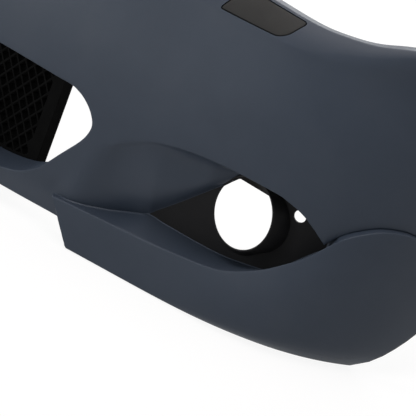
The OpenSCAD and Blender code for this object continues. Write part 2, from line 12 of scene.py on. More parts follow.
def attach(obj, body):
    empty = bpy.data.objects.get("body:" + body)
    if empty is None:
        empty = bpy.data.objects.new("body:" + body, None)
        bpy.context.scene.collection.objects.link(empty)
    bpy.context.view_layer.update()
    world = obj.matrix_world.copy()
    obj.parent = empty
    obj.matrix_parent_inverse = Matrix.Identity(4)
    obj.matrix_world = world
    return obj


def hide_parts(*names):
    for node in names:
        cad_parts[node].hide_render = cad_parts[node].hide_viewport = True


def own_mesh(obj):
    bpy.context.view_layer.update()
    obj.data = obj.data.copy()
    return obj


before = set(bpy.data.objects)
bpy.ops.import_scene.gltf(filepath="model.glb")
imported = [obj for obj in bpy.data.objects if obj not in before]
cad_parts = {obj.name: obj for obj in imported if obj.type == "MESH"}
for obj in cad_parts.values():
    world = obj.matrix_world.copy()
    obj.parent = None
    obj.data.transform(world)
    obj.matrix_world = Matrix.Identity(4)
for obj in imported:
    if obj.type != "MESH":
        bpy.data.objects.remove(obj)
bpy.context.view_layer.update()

MM = 0.001
# The plan's nose lies this far behind the frame's origin
PLAN_Y = 301.292
WALL = 3.2
TOP_FLANGE = 20.0
LOWER_HEM = 14.0
ARCH_FLANGE = 18.0
GRILLE_Y = 87.0
VALANCE_Z = 23.0

# Curves along the cover, in mm: distance from the middle around the nose, and a value
TOP_Z = [(0, 468), (250, 467), (380, 452), (480, 428), (560, 405), (623, 396), (694, 390), (735, 391),
         (790, 395), (846, 404), (950, 412), (1230, 418)]
TOP_D = [(0, -72), (560, -71), (694, -67), (790, -62), (846, -60), (950, -54), (1230, -46)]
SHOULDER_Z = [(0, 392), (300, 385), (480, 366), (560, 361), (686, 360), (728, 364), (770, 371),
              (813, 380), (849, 391), (950, 402), (1230, 409)]
SHOULDER_D = [(0, -46), (480, -45), (650, -44), (770, -47), (849, -50), (950, -47), (1230, -42)]
INTAKE_TOP = [(0, 209), (308, 207), (408, 203), (429, 202.2), (442, 198.2), (448, 194.9), (454.3, 190.4),
              (459, 186.3), (464, 181.1), (468.5, 175.2), (471.4, 169.6), (472.4, 164)]
INTAKE_LOW = [(0, 45), (200, 46), (300, 48), (363, 51), (393, 62), (406, 71), (419, 82), (430, 96.2),
              (441.3, 111.2), (452.8, 125.8), (463.1, 139.8), (468.1, 148.3), (471.3, 156.9), (472.4, 164)]
FLANGE_RISE = [(0, 6), (305, 6), (333, 9), (355, 12.2), (375, 12.9), (392, 11.6), (405, 9.8),
               (425, 8), (440, 7), (480, 6)]
BROW_Z = [(440, 164.5), (472.4, 164), (482, 162), (500, 159), (523, 166), (555, 182.8), (582, 190.2), (609, 194.9),
          (637, 197.2), (660, 198), (689, 197.6), (736, 194), (750, 190), (763, 185.5), (776, 179), (783, 174),
          (792, 167.7), (801, 160.5), (809, 154.2), (825, 141.5)]
SOFT_Z = [(430, 66), (442, 80), (454, 95), (465, 110), (480, 127), (493, 142), (507, 154), (523, 166),
          (539, 175.3), (555, 182.8), (582, 190.2)]
BEZEL_Z = [(572, 84), (600, 110.3), (626, 136.5), (640, 150.6), (653, 163.5), (660, 171.8), (669, 180.6),
           (674, 187), (680, 193), (690, 197.8)]
SHELF_Z = [(0, 38), (300, 39), (363, 41), (400, 46), (430, 52), (455, 57), (511, 63), (534, 68),
           (559, 76), (572, 80), (593, 78), (649, 75), (688, 75), (711, 77.5), (734, 80.5), (755, 85.5), (767, 94),
           (778, 105.5), (794, 122.9), (803, 132.5), (812, 141.5)]
LIP_Z = [(454, 58), (526, 61), (587, 63), (645, 68), (693, 74), (718, 83), (735, 92), (750, 101),
         (768, 115), (785, 129), (801, 145), (816, 163), (832, 176.3), (850, 186), (863, 191.4), (880, 195),
         (906, 195), (918, 192), (980, 185), (1060, 179)]
# The face's section: height and offset from the plan
FACE_D = [(23, -25), (40, -19), (58, -14), (100, -9), (150, -7), (208, -9), (280, -20), (361, -43),
          (392, -47), (468, -72)]
# The rear edge: height and distance around the plan
ARCH_S = [(0, 898), (4, 906), (8, 912), (20, 927), (69, 975), (130, 1010), (200, 1035), (280, 1070),
          (345, 1125), (392, 1200), (410, 1222), (420, 1228)]

TIP_S = 472.4
CORNER_S = 809.0
EYE_S = (572.0, 815.0)
BEZEL_TURN = math.radians(19.5)
BEZEL_AT = np.array([548.0, 136.0, 82.0])
FOG_AT = np.array([667.0, 160.0, 146.0])
FOG_TILT = math.radians(6)
FOG_R = 45.0

CAP_T = (0.08, 0.93)
CAP_TOP_S = (588.0, 680.0)
CAP_LOW_S = (567.0, 659.0)
CAP_LENGTH = CAP_TOP_S[1] - CAP_TOP_S[0]
CAP_HEIGHT = 38.2
CAP_CORNERS = (14.0, 4.5, 7.0, 8.0)
CAP_GAP = 1.2

# The plan's turns: degrees, start and length
TURNS = [(17, 0, 480), (60, 628, 390), (8, 1018, 300)]
# Above this height the face leans over to the shoulder's crease
FACE_BEND_Z = 200.0
SHOULDER_BULGE = 4.8
WING_SWELL = 4.0
TOP_FLANGE_FALL = 2.0
INTAKE_TOP_FALL = 3.0
# The groove behind the eye: its start and softness, heights over the lip's crease, and depths inside the brow
GROOVE_FROM, GROOVE_SOFT = CORNER_S + 8, 5.0
GROOVE_BROW, GROOVE_EDGE, GROOVE_BED = 1.8, 1.2, 0.7
GROOVE_EDGE_IN, GROOVE_BED_IN = 1.2, 1.4
# The scoop's wall in its middle, under the brow and at its end: shares of its depth at the brow and at its foot
SCOOP_STEP, SCOOP_SOFT, SCOOP_ROLL = (0.07, 0.56, 0.9), (0.025, 0.16, 0.16), (0.36, 0.34, 0.06)
SCOOP_FOOT, SCOOP_FOOT_POWER = 0.55, 2.4
# The shelf's depth where the scoop starts, and how much it gains
SHELF_IN, SHELF_DEEPENS = 8, 32
SOFT_POWER = (1.25, 0.62)
BEAD_HEIGHT, BEAD_AT, BEAD_WIDTH = 1.5, 1.9, 1.4
# How far down the valance the crease's row runs where there is no lip
VALANCE_SHARE = 0.13
LIP_STEP = 3.0
LIP_TUCK = 6.0

# Stretches around the plan over which one form turns into the next
EYE_CLOSES = (EYE_S[1], EYE_S[1] + 9)
BEZEL_MEETS_BROW = (678, 694)
WING_STARTS = (811, 900)
SHELF_STARTS, SHELF_FALLS = (440, 480), (462, 560)
SOFT_TIGHTENS = (462, 520)
SCOOP_UNDER, SCOOP_END = (545, 625), (632, 672)
SCOOP_CRISP, SCOOP_TO_EYE = (485, 580), (560, 580)
FLANGE_SHORTENS, FLANGE_LEVELS = (400, 440), (440, TIP_S)
CHIN_SOFTENS, CHIN_TO_EYE = (425, 445), (558, 568)
LIP_STARTS, LIP_SWELLS = (445, 452.5), (600, 780)
LIP_PROUD = (735, 800), (880, 1000)
LIP_SLANTS = (400, 452), (458, 600)
BEAD_RUNS = (452, 464), (562, 574)
CREASE_CRISP = (500, 548), (682, 750)
TIP_CRISP, SCOOP_ROUNDS, BROW_CRISP = (460, TIP_S), (TIP_S, 500), (520, 580)


def cubic(t, h):
    """Weights of a cubic piece's first value and slope and last value and slope, over a length h."""
    return 2 * t**3 - 3 * t**2 + 1, (t**3 - 2 * t**2 + t) * h, 3 * t**2 - 2 * t**3, (t**3 - t**2) * h


def neighbours(n):
    """The numbers before and after each of n points, within the row."""
    k = np.arange(n)
    return np.maximum(k - 1, 0), np.minimum(k + 1, n - 1)


def hermite(pairs, x):
    """Smooth curve through the pairs, as the solids have it."""
    xs, ys = np.asarray(pairs, float).T
    lo, hi = neighbours(len(xs))
    slope = (ys[hi] - ys[lo]) / (xs[hi] - xs[lo])
    x = np.clip(x, xs[0], xs[-1])
    i = np.clip(np.searchsorted(xs, x, side="right") - 1, 0, len(xs) - 2)
    h = xs[i + 1] - xs[i]
    w = cubic((x - xs[i]) / h, h)
    return w[0] * ys[i] + w[1] * slope[i] + w[2] * ys[i + 1] + w[3] * slope[i + 1]


def eased(pairs, sigma, low=-200.0, high=1300.0):
    """The curve with its small kinks smoothed, as a function."""
    xs = np.arange(low, high + 1.0)
    ys = hermite(pairs, np.abs(xs) if low < 0 else xs)
    reach = 4 * int(sigma + 1)
    w = np.exp(-0.5 * (np.arange(-reach, reach + 1) / sigma) ** 2)
    soft = np.convolve(np.pad(ys, reach, mode="edge"), w / w.sum(), mode="valid")
    return lambda s: np.interp(s, xs, soft)


def smooth(t):
    c = np.clip(t, 0.0, 1.0)
    return c * c * (3 - 2 * c)


def ramp(s, a, b):
    return smooth((s - a) / (b - a))


def along(s, rise, fall):
    """1 between two stretches, 0 before the first and after the second."""
    return ramp(s, *rise) * (1 - ramp(s, *fall))


def mix(a, b, t):
    return a + (b - a) * t


top_z = eased(TOP_Z, 12)
top_d = eased(TOP_D, 12)
shoulder_z = eased(SHOULDER_Z, 10)
shoulder_d = eased(SHOULDER_D, 10)
scoop_brow_z = eased(BROW_Z, 3)
soft_z = eased(SOFT_Z, 5)
eye_top_z = eased(BEZEL_Z, 3)
eye_low_z = eased(SHELF_Z, 3)
lip_z = eased(LIP_Z, 4)
flange_rise = eased(FLANGE_RISE, 5)
face_d = eased(FACE_D, 8, 0.0, 500.0)
arch_s = eased(ARCH_S, 5, 0.0, 480.0)


def tip_curve(pairs, s):
    """Curve that ends upright at the intake's rounded end."""
    upright = [(math.sqrt(TIP_S - x), z) for x, z in reversed(pairs)]
    return hermite(upright, np.sqrt(np.maximum(TIP_S - s, 0)))


def groove(s):
    """0 at the eye's rear corner, then 1 along the groove over the lip's crease."""
    return 1 - np.exp(-np.maximum(s - GROOVE_FROM, 0) / GROOVE_SOFT)


def past_eye(s):
    """0 up to the hidden end of the eye's opening, then 1."""
    return ramp(s, *EYE_CLOSES)


def brow_z(s):
    """The face's lower edge: over the intake, the scoop and the eye, then along the groove."""
    front = np.where(s <= TIP_S, tip_curve(INTAKE_TOP, s), scoop_brow_z(s))
    return np.where(s <= CORNER_S, front, lip_z(s) + GROOVE_BROW * groove(s))


def bezel_z(s):
    """The eye's upper edge, then the groove's."""
    front = mix(eye_top_z(s), brow_z(s) + 0.4, ramp(s, *BEZEL_MEETS_BROW))
    return mix(front, lip_z(s) + GROOVE_EDGE * groove(s) + 0.1, past_eye(s))


def shelf_z(s):
    """The shelf over the lip and under the eye, then the groove's bed."""
    drop = eye_low_z(CORNER_S) - lip_z(CORNER_S)
    return np.where(s <= CORNER_S, eye_low_z(s), lip_z(s) + mix(drop, GROOVE_BED, past_eye(s)))


def intake_z(s):
    return tip_curve(INTAKE_LOW, s)


def turn(s):
    """The plan's heading."""
    return np.radians(sum(angle * smooth((s - start) / length) for angle, start, length in TURNS))


PLAN_S = np.arange(0.0, 1401.0)
PLAN_HEADING = turn(PLAN_S[:-1] + 0.5)
PLAN_PX = np.concatenate([[0.0], np.cumsum(np.cos(PLAN_HEADING))])
PLAN_PY = np.concatenate([[0.0], np.cumsum(np.sin(PLAN_HEADING))])


def spot(s, d, z):
    """Points at distance s around the plan, offset d outward, at height z, in mm."""
    a = turn(s)
    x = np.interp(s, PLAN_S, PLAN_PX) + d * np.sin(a)
    y = np.interp(s, PLAN_S, PLAN_PY) - d * np.cos(a)
    return np.stack(np.broadcast_arrays(x, y, z), axis=-1)


def on_bezel(s):
    """The offset at which the bezel's plane lies."""
    x = BEZEL_AT[0] - np.interp(s, PLAN_S, PLAN_PX)
    y = BEZEL_AT[1] - np.interp(s, PLAN_S, PLAN_PY)
    return (x * math.sin(BEZEL_TURN) - y * math.cos(BEZEL_TURN)) / np.cos(turn(s) - BEZEL_TURN)


def face(s, z):
    """The face's offset at a height."""
    zc = shoulder_z(s)
    up = np.clip((z - FACE_BEND_Z) / (zc - FACE_BEND_Z), 0, 1)
    swell = WING_SWELL * ramp(s, *WING_STARTS) * (1 - up)
    return face_d(z) + (shoulder_d(s) - face_d(zc)) * up * up + swell


def brow_d(s):
    return face(s, brow_z(s))


def shelf_d(s):
    """The offset of the shelf's inner edge."""
    scoop = -SHELF_IN - SHELF_DEEPENS * ramp(s, *SHELF_FALLS)
    eye = np.where(s < SHELF_FALLS[1], scoop, on_bezel(s))
    front = mix(face_d(shelf_z(s)), eye, ramp(s, *SHELF_STARTS))
    return mix(front, brow_d(s) - GROOVE_BED_IN, past_eye(s))


def shoulder(s, t):
    bulge = SHOULDER_BULGE * t * (1 - t)
    return spot(s, mix(top_d(s), shoulder_d(s), t) + bulge, mix(top_z(s), shoulder_z(s), t) + bulge)


def flange_line(s, t):
    return spot(s, top_d(s) - TOP_FLANGE * (1 - t), top_z(s) - TOP_FLANGE_FALL * (1 - t))


def face_line(s, t):
    z = mix(shoulder_z(s), brow_z(s), t)
    return spot(s, face(s, z), z)


def soft_d(s, z):
    """The scoop's start, which leaves the face along a soft slanting line."""
    line = soft_z(s)
    u = np.clip((line - z) / (line - shelf_z(s)), 0, 1)
    power = mix(*SOFT_POWER, ramp(s, *SOFT_TIGHTENS))
    return face(s, np.maximum(z, line)) + (shelf_d(s) - face(s, line)) * np.sin(u * math.pi / 2) ** power


def wall_value(values, s):
    """A value of the scoop's wall, from its middle to under the brow and on to its end."""
    return mix(values[0], mix(values[1], values[2], ramp(s, *SCOOP_END)), ramp(s, *SCOOP_UNDER))


def scoop_arc(s, t):
    """Wall from the brow down to the shelf, or to the bezel's upper edge, where it turns inward."""
    d, z = brow_d(s), brow_z(s)
    h = t - 0.13 * np.sin(2 * math.pi * t)
    step, soft, roll = (wall_value(v, s) for v in (SCOOP_STEP, SCOOP_SOFT, SCOOP_ROLL))
    quick = (1 - np.exp(-h / soft)) / (1 - np.exp(-1 / soft))
    foot = (np.maximum(h - SCOOP_FOOT, 0) / (1 - SCOOP_FOOT)) ** SCOOP_FOOT_POWER
    into = step * quick + (1 - step - roll) * h + roll * foot
    low = mix(z, shelf_z(s), h)
    start, crisp = spot(s, soft_d(s, low), low), spot(s, d + (shelf_d(s) - d) * into, low)
    b = mix(on_bezel(s), d - GROOVE_EDGE_IN, past_eye(s))
    edge = spot(s, d + (b - d) * into, mix(z, bezel_z(s), h))
    front = mix(start, crisp, ramp(s, *SCOOP_CRISP)[..., None])
    return mix(front, edge, ramp(s, *SCOOP_TO_EYE)[..., None])


def scoop_share(s):
    """How far down the wall the row that becomes the bezel's upper edge lies."""
    return np.clip(ramp(s, TIP_S - 4, 566), 0.004, 1)


def surround(s, upper, t):
    """The intake's flange, from its front edge (t 0) straight back to the grille (t 1)."""
    z = brow_z(s) if upper else intake_z(s)
    e = spot(s, face(s, z), z)
    back_y = mix(GRILLE_Y, e[..., 1] + WALL + 1, ramp(s, *FLANGE_SHORTENS))
    share = (back_y - e[..., 1]) / (GRILLE_Y - e[..., 1])
    rise = -INTAKE_TOP_FALL * (1 - ramp(s, *FLANGE_LEVELS)) if upper else flange_rise(s) * share
    back = np.stack(np.broadcast_arrays(e[..., 0], back_y, e[..., 2] + rise), axis=-1)
    return mix(e, back, t[..., None])


def before_tip(s, inside, behind):
    """The first points on the intake's side of its rounded end, the second ones behind it."""
    return np.where((s <= TIP_S)[..., None], inside, behind)


def upper_wall(s, t):
    """From the brow to halfway: the intake's upper flange, or the upper half of the scoop."""
    return before_tip(s, surround(s, True, t), scoop_arc(s, 0.5 * t * scoop_share(s)))


def lower_wall(s, t):
    """From halfway to the eye's edge: the intake's lower flange, or the lower half of the scoop."""
    return before_tip(s, surround(s, False, 1 - t), scoop_arc(s, (0.5 + 0.5 * t) * scoop_share(s)))


def chin_line(s, t):
    """From the intake's lower edge or the eye's edge down to the shelf."""
    z = mix(intake_z(s), shelf_z(s), t)
    front = spot(s, mix(face(s, z), soft_d(s, z), ramp(s, *CHIN_SOFTENS)), z)
    arc = scoop_arc(s, mix(scoop_share(s), 1, t))
    eye = mix(scoop_arc(s, np.ones_like(s)), spot(s, shelf_d(s), shelf_z(s)), t[..., None])
    return before_tip(s, front, mix(arc, eye, ramp(s, *CHIN_TO_EYE)[..., None]))


def lip_lean(t):
    """How far back the lip's inner end slants at a share of its height."""
    return (42.0 - 2.0 * t) * t


def lip_share(s, t=0.0):
    """0 on the plain valance in the middle, 1 on the lip."""
    return ramp(s - lip_lean(t), *LIP_STARTS)


def lip_d(s):
    return LIP_STEP * along(s, *LIP_PROUD)


def valance(s, z):
    return spot(s, face_d(z), z)


def shelf_line(s, t):
    """From the shelf out to the lip's crease, or on down the valance."""
    away = t * np.maximum(lip_d(s) - shelf_d(s), 6)
    lip = mix(spot(s, shelf_d(s), shelf_z(s)), spot(s, lip_d(s), lip_z(s)), t[..., None])
    lip[..., 2] += BEAD_HEIGHT * along(s, *BEAD_RUNS) * np.exp(-((away - BEAD_AT) / BEAD_WIDTH) ** 2)
    plain = valance(s, mix(shelf_z(s), VALANCE_Z, VALANCE_SHARE * t))
    return mix(plain, lip, lip_share(s)[..., None])


# The lip's section from its crease to its lower edge: share of the way, share of the height,
# and how far it bulges at its inner end and where it swells
LIP_KEYS = np.array([0.0, 0.32, 0.66, 0.88, 1.0])
LIP_HEIGHTS = (1.0, 0.68, 0.34, 0.12)
LIP_BULGES = (0.0, 0.0), (0.6, 8.0), (0.6, 10.0), (0.4, 5.0)


def lip_line(s, t):
    """From the crease down to the lower edge."""
    r = ramp(s, *LIP_SWELLS)
    keys_d = [lip_d(s) + mix(*bulge, r) for bulge in LIP_BULGES] + [-LIP_TUCK * r]
    keys_z = [share * lip_z(s) for share in LIP_HEIGHTS] + [r]
    keys = np.array([keys_d, keys_z])
    lo, hi = neighbours(len(LIP_KEYS))
    slopes = (keys[:, hi] - keys[:, lo]) / (LIP_KEYS[hi] - LIP_KEYS[lo])[:, None]
    i = np.clip(np.searchsorted(LIP_KEYS, t, side="right") - 1, 0, len(LIP_KEYS) - 2)
    h = LIP_KEYS[i + 1] - LIP_KEYS[i]
    w = cubic(np.clip((t - LIP_KEYS[i]) / h, 0, 1), h)
    k = np.arange(len(s))
    d, z = (w[0] * keys[:, i, k] + w[1] * slopes[:, i, k] + w[2] * keys[:, i + 1, k]
            + w[3] * slopes[:, i + 1, k])
    plain = valance(s, mix(mix(shelf_z(s), VALANCE_Z, VALANCE_SHARE), VALANCE_Z, t))
    return mix(plain, spot(s, d, z), lip_share(s, t)[..., None])


def hem_line(s, t):
    """The hem under the lower edge."""
    r = ramp(s, *LIP_SWELLS)
    lip = spot(s, -LIP_TUCK * r - LOWER_HEM * t, r + 5 * t)
    plain = spot(s, face_d(np.full_like(s, VALANCE_Z)) - LOWER_HEM * t, VALANCE_Z + 6 * t)
    return mix(plain, lip, lip_share(s, 1.0)[..., None])


def crease_radius(s):
    """The shoulder's crease: crisp under the washer cap, soft elsewhere."""
    return 9.0 - 7.4 * along(s, *CREASE_CRISP)


def intake_radius(s):
    """The intake's edge, crisp at its rounded end."""
    return mix(2.2, 0.4, ramp(s, *TIP_CRISP))


def brow_radius(s):
    """The brow: soft where the scoop starts, crisp over the fog lamp."""
    return mix(intake_radius(s), mix(9.0, 1.6, ramp(s, *BROW_CRISP)), ramp(s, *SCOOP_ROUNDS))


def eye_radius(s):
    return mix(intake_radius(s), 0.8, ramp(s, *SCOOP_ROUNDS))


# Lines of the skin's section from the top flange to the hem: function, points between its ends,
# and the radius of the edge that it ends in
LINES = [
    (flange_line, 3, 2.2),
    (shoulder, 15, crease_radius),
    (face_line, 18, brow_radius),
    (upper_wall, 7, None),
    (lower_wall, 7, eye_radius),
    (chin_line, 8, 0.9),
    (shelf_line, 18, 1.8),
    (lip_line, 14, 3.0),
    (hem_line, 3, None),
]
EDGE_STEPS = (0.0, 0.25, 0.5, 0.75, 1.0)
START, BETWEEN, EDGE, END = range(4)
# How much closer to the shelf's inner edge its rows lie
SHELF_CROWD = 1.9
# Columns around the plan: start, end and number; those at the intake's rounded end crowd towards it
REAR_FROM, REAR_COLUMNS = 826.0, 30
TIP_FROM, TIP_COLUMNS = 448.0, 26
RUNS = [(0, 380, 19), (380, 430, 8), (430, TIP_FROM, 7), (TIP_S, 545, 20), (545, EYE_S[0], 11),
        (EYE_S[0], 700, 52), (700, 790, 30), (790, CORNER_S, 14), (CORNER_S, REAR_FROM, 14)]
# The flange along the wheel arch: its edge's rounding, least depth, and the shares of its depth that have points
FLANGE_EDGE, FLANGE_LEAST, FLANGE_RUN = 2.4, 3.0, (0.35, 0.7, 1.0)
# How far the wall thins to an edge at the intake's rounded end, and over what length
TIP_THIN, TIP_THIN_LENGTH = 0.9, 3.0
MIRROR = np.array([-1.0, 1.0, 1.0])


def line_number(f):
    return [line[0] for line in LINES].index(f)


def line_length(f, s):
    points = [f(s, np.full_like(s, v)) for v in np.linspace(0, 1, 6)]
    return sum(np.linalg.norm(b - a, axis=-1) for a, b in zip(points, points[1:]))


def edge_share(i, s, radius):
    """The share of a line that the rounding at one of its ends takes."""
    r = radius(s) if callable(radius) else radius
    return np.minimum(0.4, r / np.maximum(line_length(LINES[i][0], s), 1e-3))


def line_share(i, s, share):
    """The share of a line at a share of what its roundings leave."""
    before = LINES[i - 1][2] if i else None
    low = np.zeros_like(s) if before is None else edge_share(i, s, before)
    high = np.ones_like(s) if LINES[i][2] is None else 1 - edge_share(i, s, LINES[i][2])
    return mix(low, high, share)


def row_specs():
    """Rows of the section: line number, kind, and share within the line or its edge."""
    specs = []
    for i, (f, n, r) in enumerate(LINES):
        if i == 0 or LINES[i - 1][2] is None:
            specs.append((i, START, 0.0))
        crowd = SHELF_CROWD if f is shelf_line else 1.0
        specs += [(i, BETWEEN, (k / (n + 1)) ** crowd) for k in range(1, n + 1)]
        specs += [(i, END, 1.0)] if r is None else [(i, EDGE, t) for t in EDGE_STEPS]
    return specs


def rows_between(specs, f):
    """The numbers of the rows between a line's ends."""
    return [k for k, spec in enumerate(specs) if spec[:2] == (line_number(f), BETWEEN)]


def rounding(before, corner, after, t):
    return (1 - t) ** 2 * before + 2 * t * (1 - t) * corner + t**2 * after


def row_points(spec, s, sharp=False):
    """A row's points at each s; sharp gives an edge's own line in place of its rounding."""
    i, kind, share = spec
    f, _, r = LINES[i]
    if kind == BETWEEN:
        return f(s, line_share(i, s, share))
    if kind == EDGE and not sharp:
        before = f(s, 1 - edge_share(i, s, r))
        after = LINES[i + 1][0](s, edge_share(i + 1, s, r))
        return rounding(before, f(s, np.ones_like(s)), after, share)
    return f(s, np.zeros_like(s) if kind == START else np.ones_like(s))


def lean(spec, s):
    """How far a row lies further back on the lip, whose inner end slants."""
    i, kind, share = spec
    first, hem = line_number(lip_line), line_number(hem_line)
    t = 1.0 if i == hem or (i == first and kind == EDGE) else share if i == first else 0.0
    return lip_lean(t) * along(s, *LIP_SLANTS)


def columns():
    """Distances around the plan, closer together where the shape turns."""
    parts = [a + (b - a) * np.arange(n) / n for a, b, n in RUNS]
    tip = TIP_S - (TIP_S - TIP_FROM) * (np.arange(TIP_COLUMNS) / TIP_COLUMNS) ** 2
    return np.sort(np.concatenate(parts + [tip, [TIP_S + 0.05, REAR_FROM]]))


def rear_end(spec):
    """Where a row meets the rear edge along the wheel arch."""
    if spec[0] == line_number(flange_line):
        spec = (line_number(shoulder), START, 0.0)
    if spec[0] == line_number(hem_line):
        spec = (line_number(lip_line), END, 1.0)
    s = np.linspace(860, 1245, 78)
    past = arch_s(row_points(spec, s)[..., 2]) - s
    k = int(np.argmax(past < 0))
    return float(s[k - 1] + (s[k] - s[k - 1]) * past[k - 1] / (past[k - 1] - past[k]))


def cap_local(s, t):
    """A point of the shoulder in the cap's own sheared frame, in mm from its middle."""
    v = (t - CAP_T[0]) / (CAP_T[1] - CAP_T[0])
    return s - mix(CAP_TOP_S[0], CAP_LOW_S[0], v) - CAP_LENGTH / 2, (v - 0.5) * CAP_HEIGHT


def cap_surface(p, q):
    """The shoulder's s and share at a point of the cap's own frame."""
    v = q / CAP_HEIGHT + 0.5
    return mix(CAP_TOP_S[0], CAP_LOW_S[0], v) + p + CAP_LENGTH / 2, mix(*CAP_T, v)


def cap_half(inset=0.0):
    """Half the length and height of the cap's outline, and its corner radii."""
    return CAP_LENGTH / 2 - inset, CAP_HEIGHT / 2 - inset, [max(r - inset, 1.0) for r in CAP_CORNERS]


def cap_distance(p, q):
    """Signed distance to the aperture's rounded outline, negative inside."""
    a, b, corners = cap_half()
    r = np.select([(p > 0) & (q > 0), q > 0, p <= 0], corners[:3], corners[3])
    x, y = np.abs(p) - (a - r), np.abs(q) - (b - r)
    return np.hypot(np.maximum(x, 0), np.maximum(y, 0)) + np.minimum(np.maximum(x, y), 0) - r


def cap_nearest(p, q):
    """The nearest point of the aperture's outline."""
    e = 0.01
    for _ in range(3):
        d = cap_distance(p, q)
        gx = (cap_distance(p + e, q) - cap_distance(p - e, q)) / (2 * e)
        gy = (cap_distance(p, q + e) - cap_distance(p, q - e)) / (2 * e)
        g = np.maximum(np.hypot(gx, gy), 1e-6)
        p, q = p - d * gx / g, q - d * gy / g
    return p, q


def rounded_outline(a, b, corners, steps=9, straight=14):
    """Points around a rectangle with four corner radii."""
    arcs = []
    for k, ((x, y), r) in enumerate(zip([(1, 1), (-1, 1), (-1, -1), (1, -1)], corners)):
        angles = np.linspace(k * math.pi / 2, (k + 1) * math.pi / 2, steps)
        arcs.append(np.stack([x * (a - r) + r * np.cos(angles), y * (b - r) + r * np.sin(angles)], axis=1))
    share = (np.arange(1, straight) / straight)[:, None]
    return np.concatenate([p for arc, after in zip(arcs, arcs[1:] + arcs[:1])
                           for p in (arc, arc[-1] + (after[0] - arc[-1]) * share)])


def circle(n):
    """The cosines and sines of n angles around."""
    angle = np.linspace(0, 2 * math.pi, n, endpoint=False)
    return np.stack([np.cos(angle), np.sin(angle)], axis=1)


# The washer's axis: the cap's middle, the direction outward, and two directions across it
WASHER_AT = np.array([593.209, 165.56, 378.869])
WASHER_W = np.array([0.263597, -0.774357, 0.575229])
WASHER_U = np.cross([0.0, 0.0, 1.0], WASHER_W)
WASHER_U /= np.linalg.norm(WASHER_U)
WASHER_V = np.cross(WASHER_W, WASHER_U)
# Sections of the skirt and of the cap's edge: inset and drop; of the cap's boss: radius and drop
SKIRT = [(0.0, 1.6), (0.0, 6.2), (4.5, 6.2), (4.5, 7.8), (-1.6, 7.8), (-1.6, 2.6)]
CAP_EDGE = [(1.4, 0.0), (0.75, 0.12), (0.25, 0.5), (0.0, 1.2), (0.1, 3.4), (0.6, 4.0)]
CAP_FILL = (4.0, 6.0)
BOSS = [(11.5, 3.4), (10.4, 4.6), (10.0, 6.0), (10.0, 13.2), (9.2, 14.0)]
BOSS_SIDES = 40


def on_cap(flat, drop):
    """Points of the shoulder from the cap's own frame, dropped along the washer's axis."""
    return shoulder(*cap_surface(flat[:, 0], flat[:, 1])) - WASHER_W * drop


def to_frame(points):
    """Plan millimetres to the frame's metres."""
    return (np.asarray(points) - np.array([0.0, PLAN_Y, 0.0])) * MM


def mesh_object(name, points, faces, materials, slots=None, sharp=35.0):
    """A mesh with merged points, smooth shading and sharp edges."""
    mesh = bpy.data.meshes.new(name)
    mesh.from_pydata([tuple(p) for p in to_frame(points)], [], [tuple(int(v) for v in f) for f in faces])
    for m in materials:
        mesh.materials.append(m)
    if slots is not None:
        mesh.polygons.foreach_set("material_index", np.asarray(slots, dtype=np.int32))
    work = bmesh.new()
    work.from_mesh(mesh)
    bmesh.ops.remove_doubles(work, verts=work.verts, dist=2e-6)
    bmesh.ops.dissolve_degenerate(work, edges=work.edges, dist=1e-6)
    work.to_mesh(mesh)
    work.free()
    mesh.shade_smooth()
    mesh.set_sharp_from_angle(angle=math.radians(sharp))
    obj = bpy.data.objects.new(name, mesh)
    bpy.context.scene.collection.objects.link(obj)
    return obj


class Shell:
    """A mesh in the making: its points, in plan millimetres, and its faces."""

    def __init__(self):
        self.points, self.faces, self.count = [], [], 0

    def add(self, points):
        """Adds points and gives the first one's number."""
        start = self.count
        self.points.append(points)
        self.count += len(points)
        return start

    def sheet(self, points, tris, back=False):
        """Adds a filled outline; a back faces the other way."""
        start = self.add(points)
        self.faces += [tuple(start + v for v in (f[::-1] if back else f)) for f in tris]

    def bands(self, loops, back=False):
        """Adds the strips from each loop to the next, and gives the loops' first numbers."""
        starts = [self.add(p) for p in loops]
        n = len(loops[0])
        for a, b in zip(starts, starts[1:]):
            for i in range(n):
                k = (i + 1) % n
                self.faces.append((a + i, b + i, b + k, a + k) if back else (a + i, a + k, b + k, b + i))
        return starts

    def lid(self, start, n):
        """Adds one face over a loop."""
        self.faces.append(tuple(range(start, start + n)))

    def piece(self, name, materials, sharp, mirrored=False, slots=None):
        """The object, with its faces turned outward."""
        points = np.concatenate(self.points) * (MIRROR if mirrored else 1.0)
        obj = mesh_object(name, points, self.faces, materials, slots, sharp)
        work = bmesh.new()
        work.from_mesh(obj.data)
        bmesh.ops.recalc_face_normals(work, faces=work.faces)
        work.to_mesh(obj.data)
        work.free()
        return obj


def ring(corners):
    """A face without repeated corners."""
    return [v for k, v in enumerate(corners) if v != corners[k - 1]]


def skin_grid():
    """The outer side: points (columns, rows), sharp points, and which cells are kept, on the left half."""
    specs = row_specs()
    base = columns()
    ends = np.array([rear_end(spec) for spec in specs])
    share = np.arange(1, REAR_COLUMNS + 1) / REAR_COLUMNS
    stations = [np.concatenate([base + lean(spec, base), mix(REAR_FROM, end - FLANGE_EDGE, share)])
                for spec, end in zip(specs, ends)]
    outer = np.stack([row_points(spec, s) for spec, s in zip(specs, stations)], axis=1)
    sharp = np.stack([row_points(spec, s, True) for spec, s in zip(specs, stations)], axis=1)
    kept = np.ones((outer.shape[0] - 1, outer.shape[1] - 1), bool)
    column = np.concatenate([0.5 * (base[1:] + base[:-1]), np.full(REAR_COLUMNS, np.inf)])
    kept[column < TIP_S, specs.index((line_number(upper_wall), END, 1.0))] = False
    eye = rows_between(specs, chin_line)
    inside = (column > EYE_S[0]) & (column < EYE_S[1])
    kept[inside, eye[0] - 1:eye[-1] + 1] = False
    return specs, ends, outer, sharp, np.stack(stations, axis=1), kept


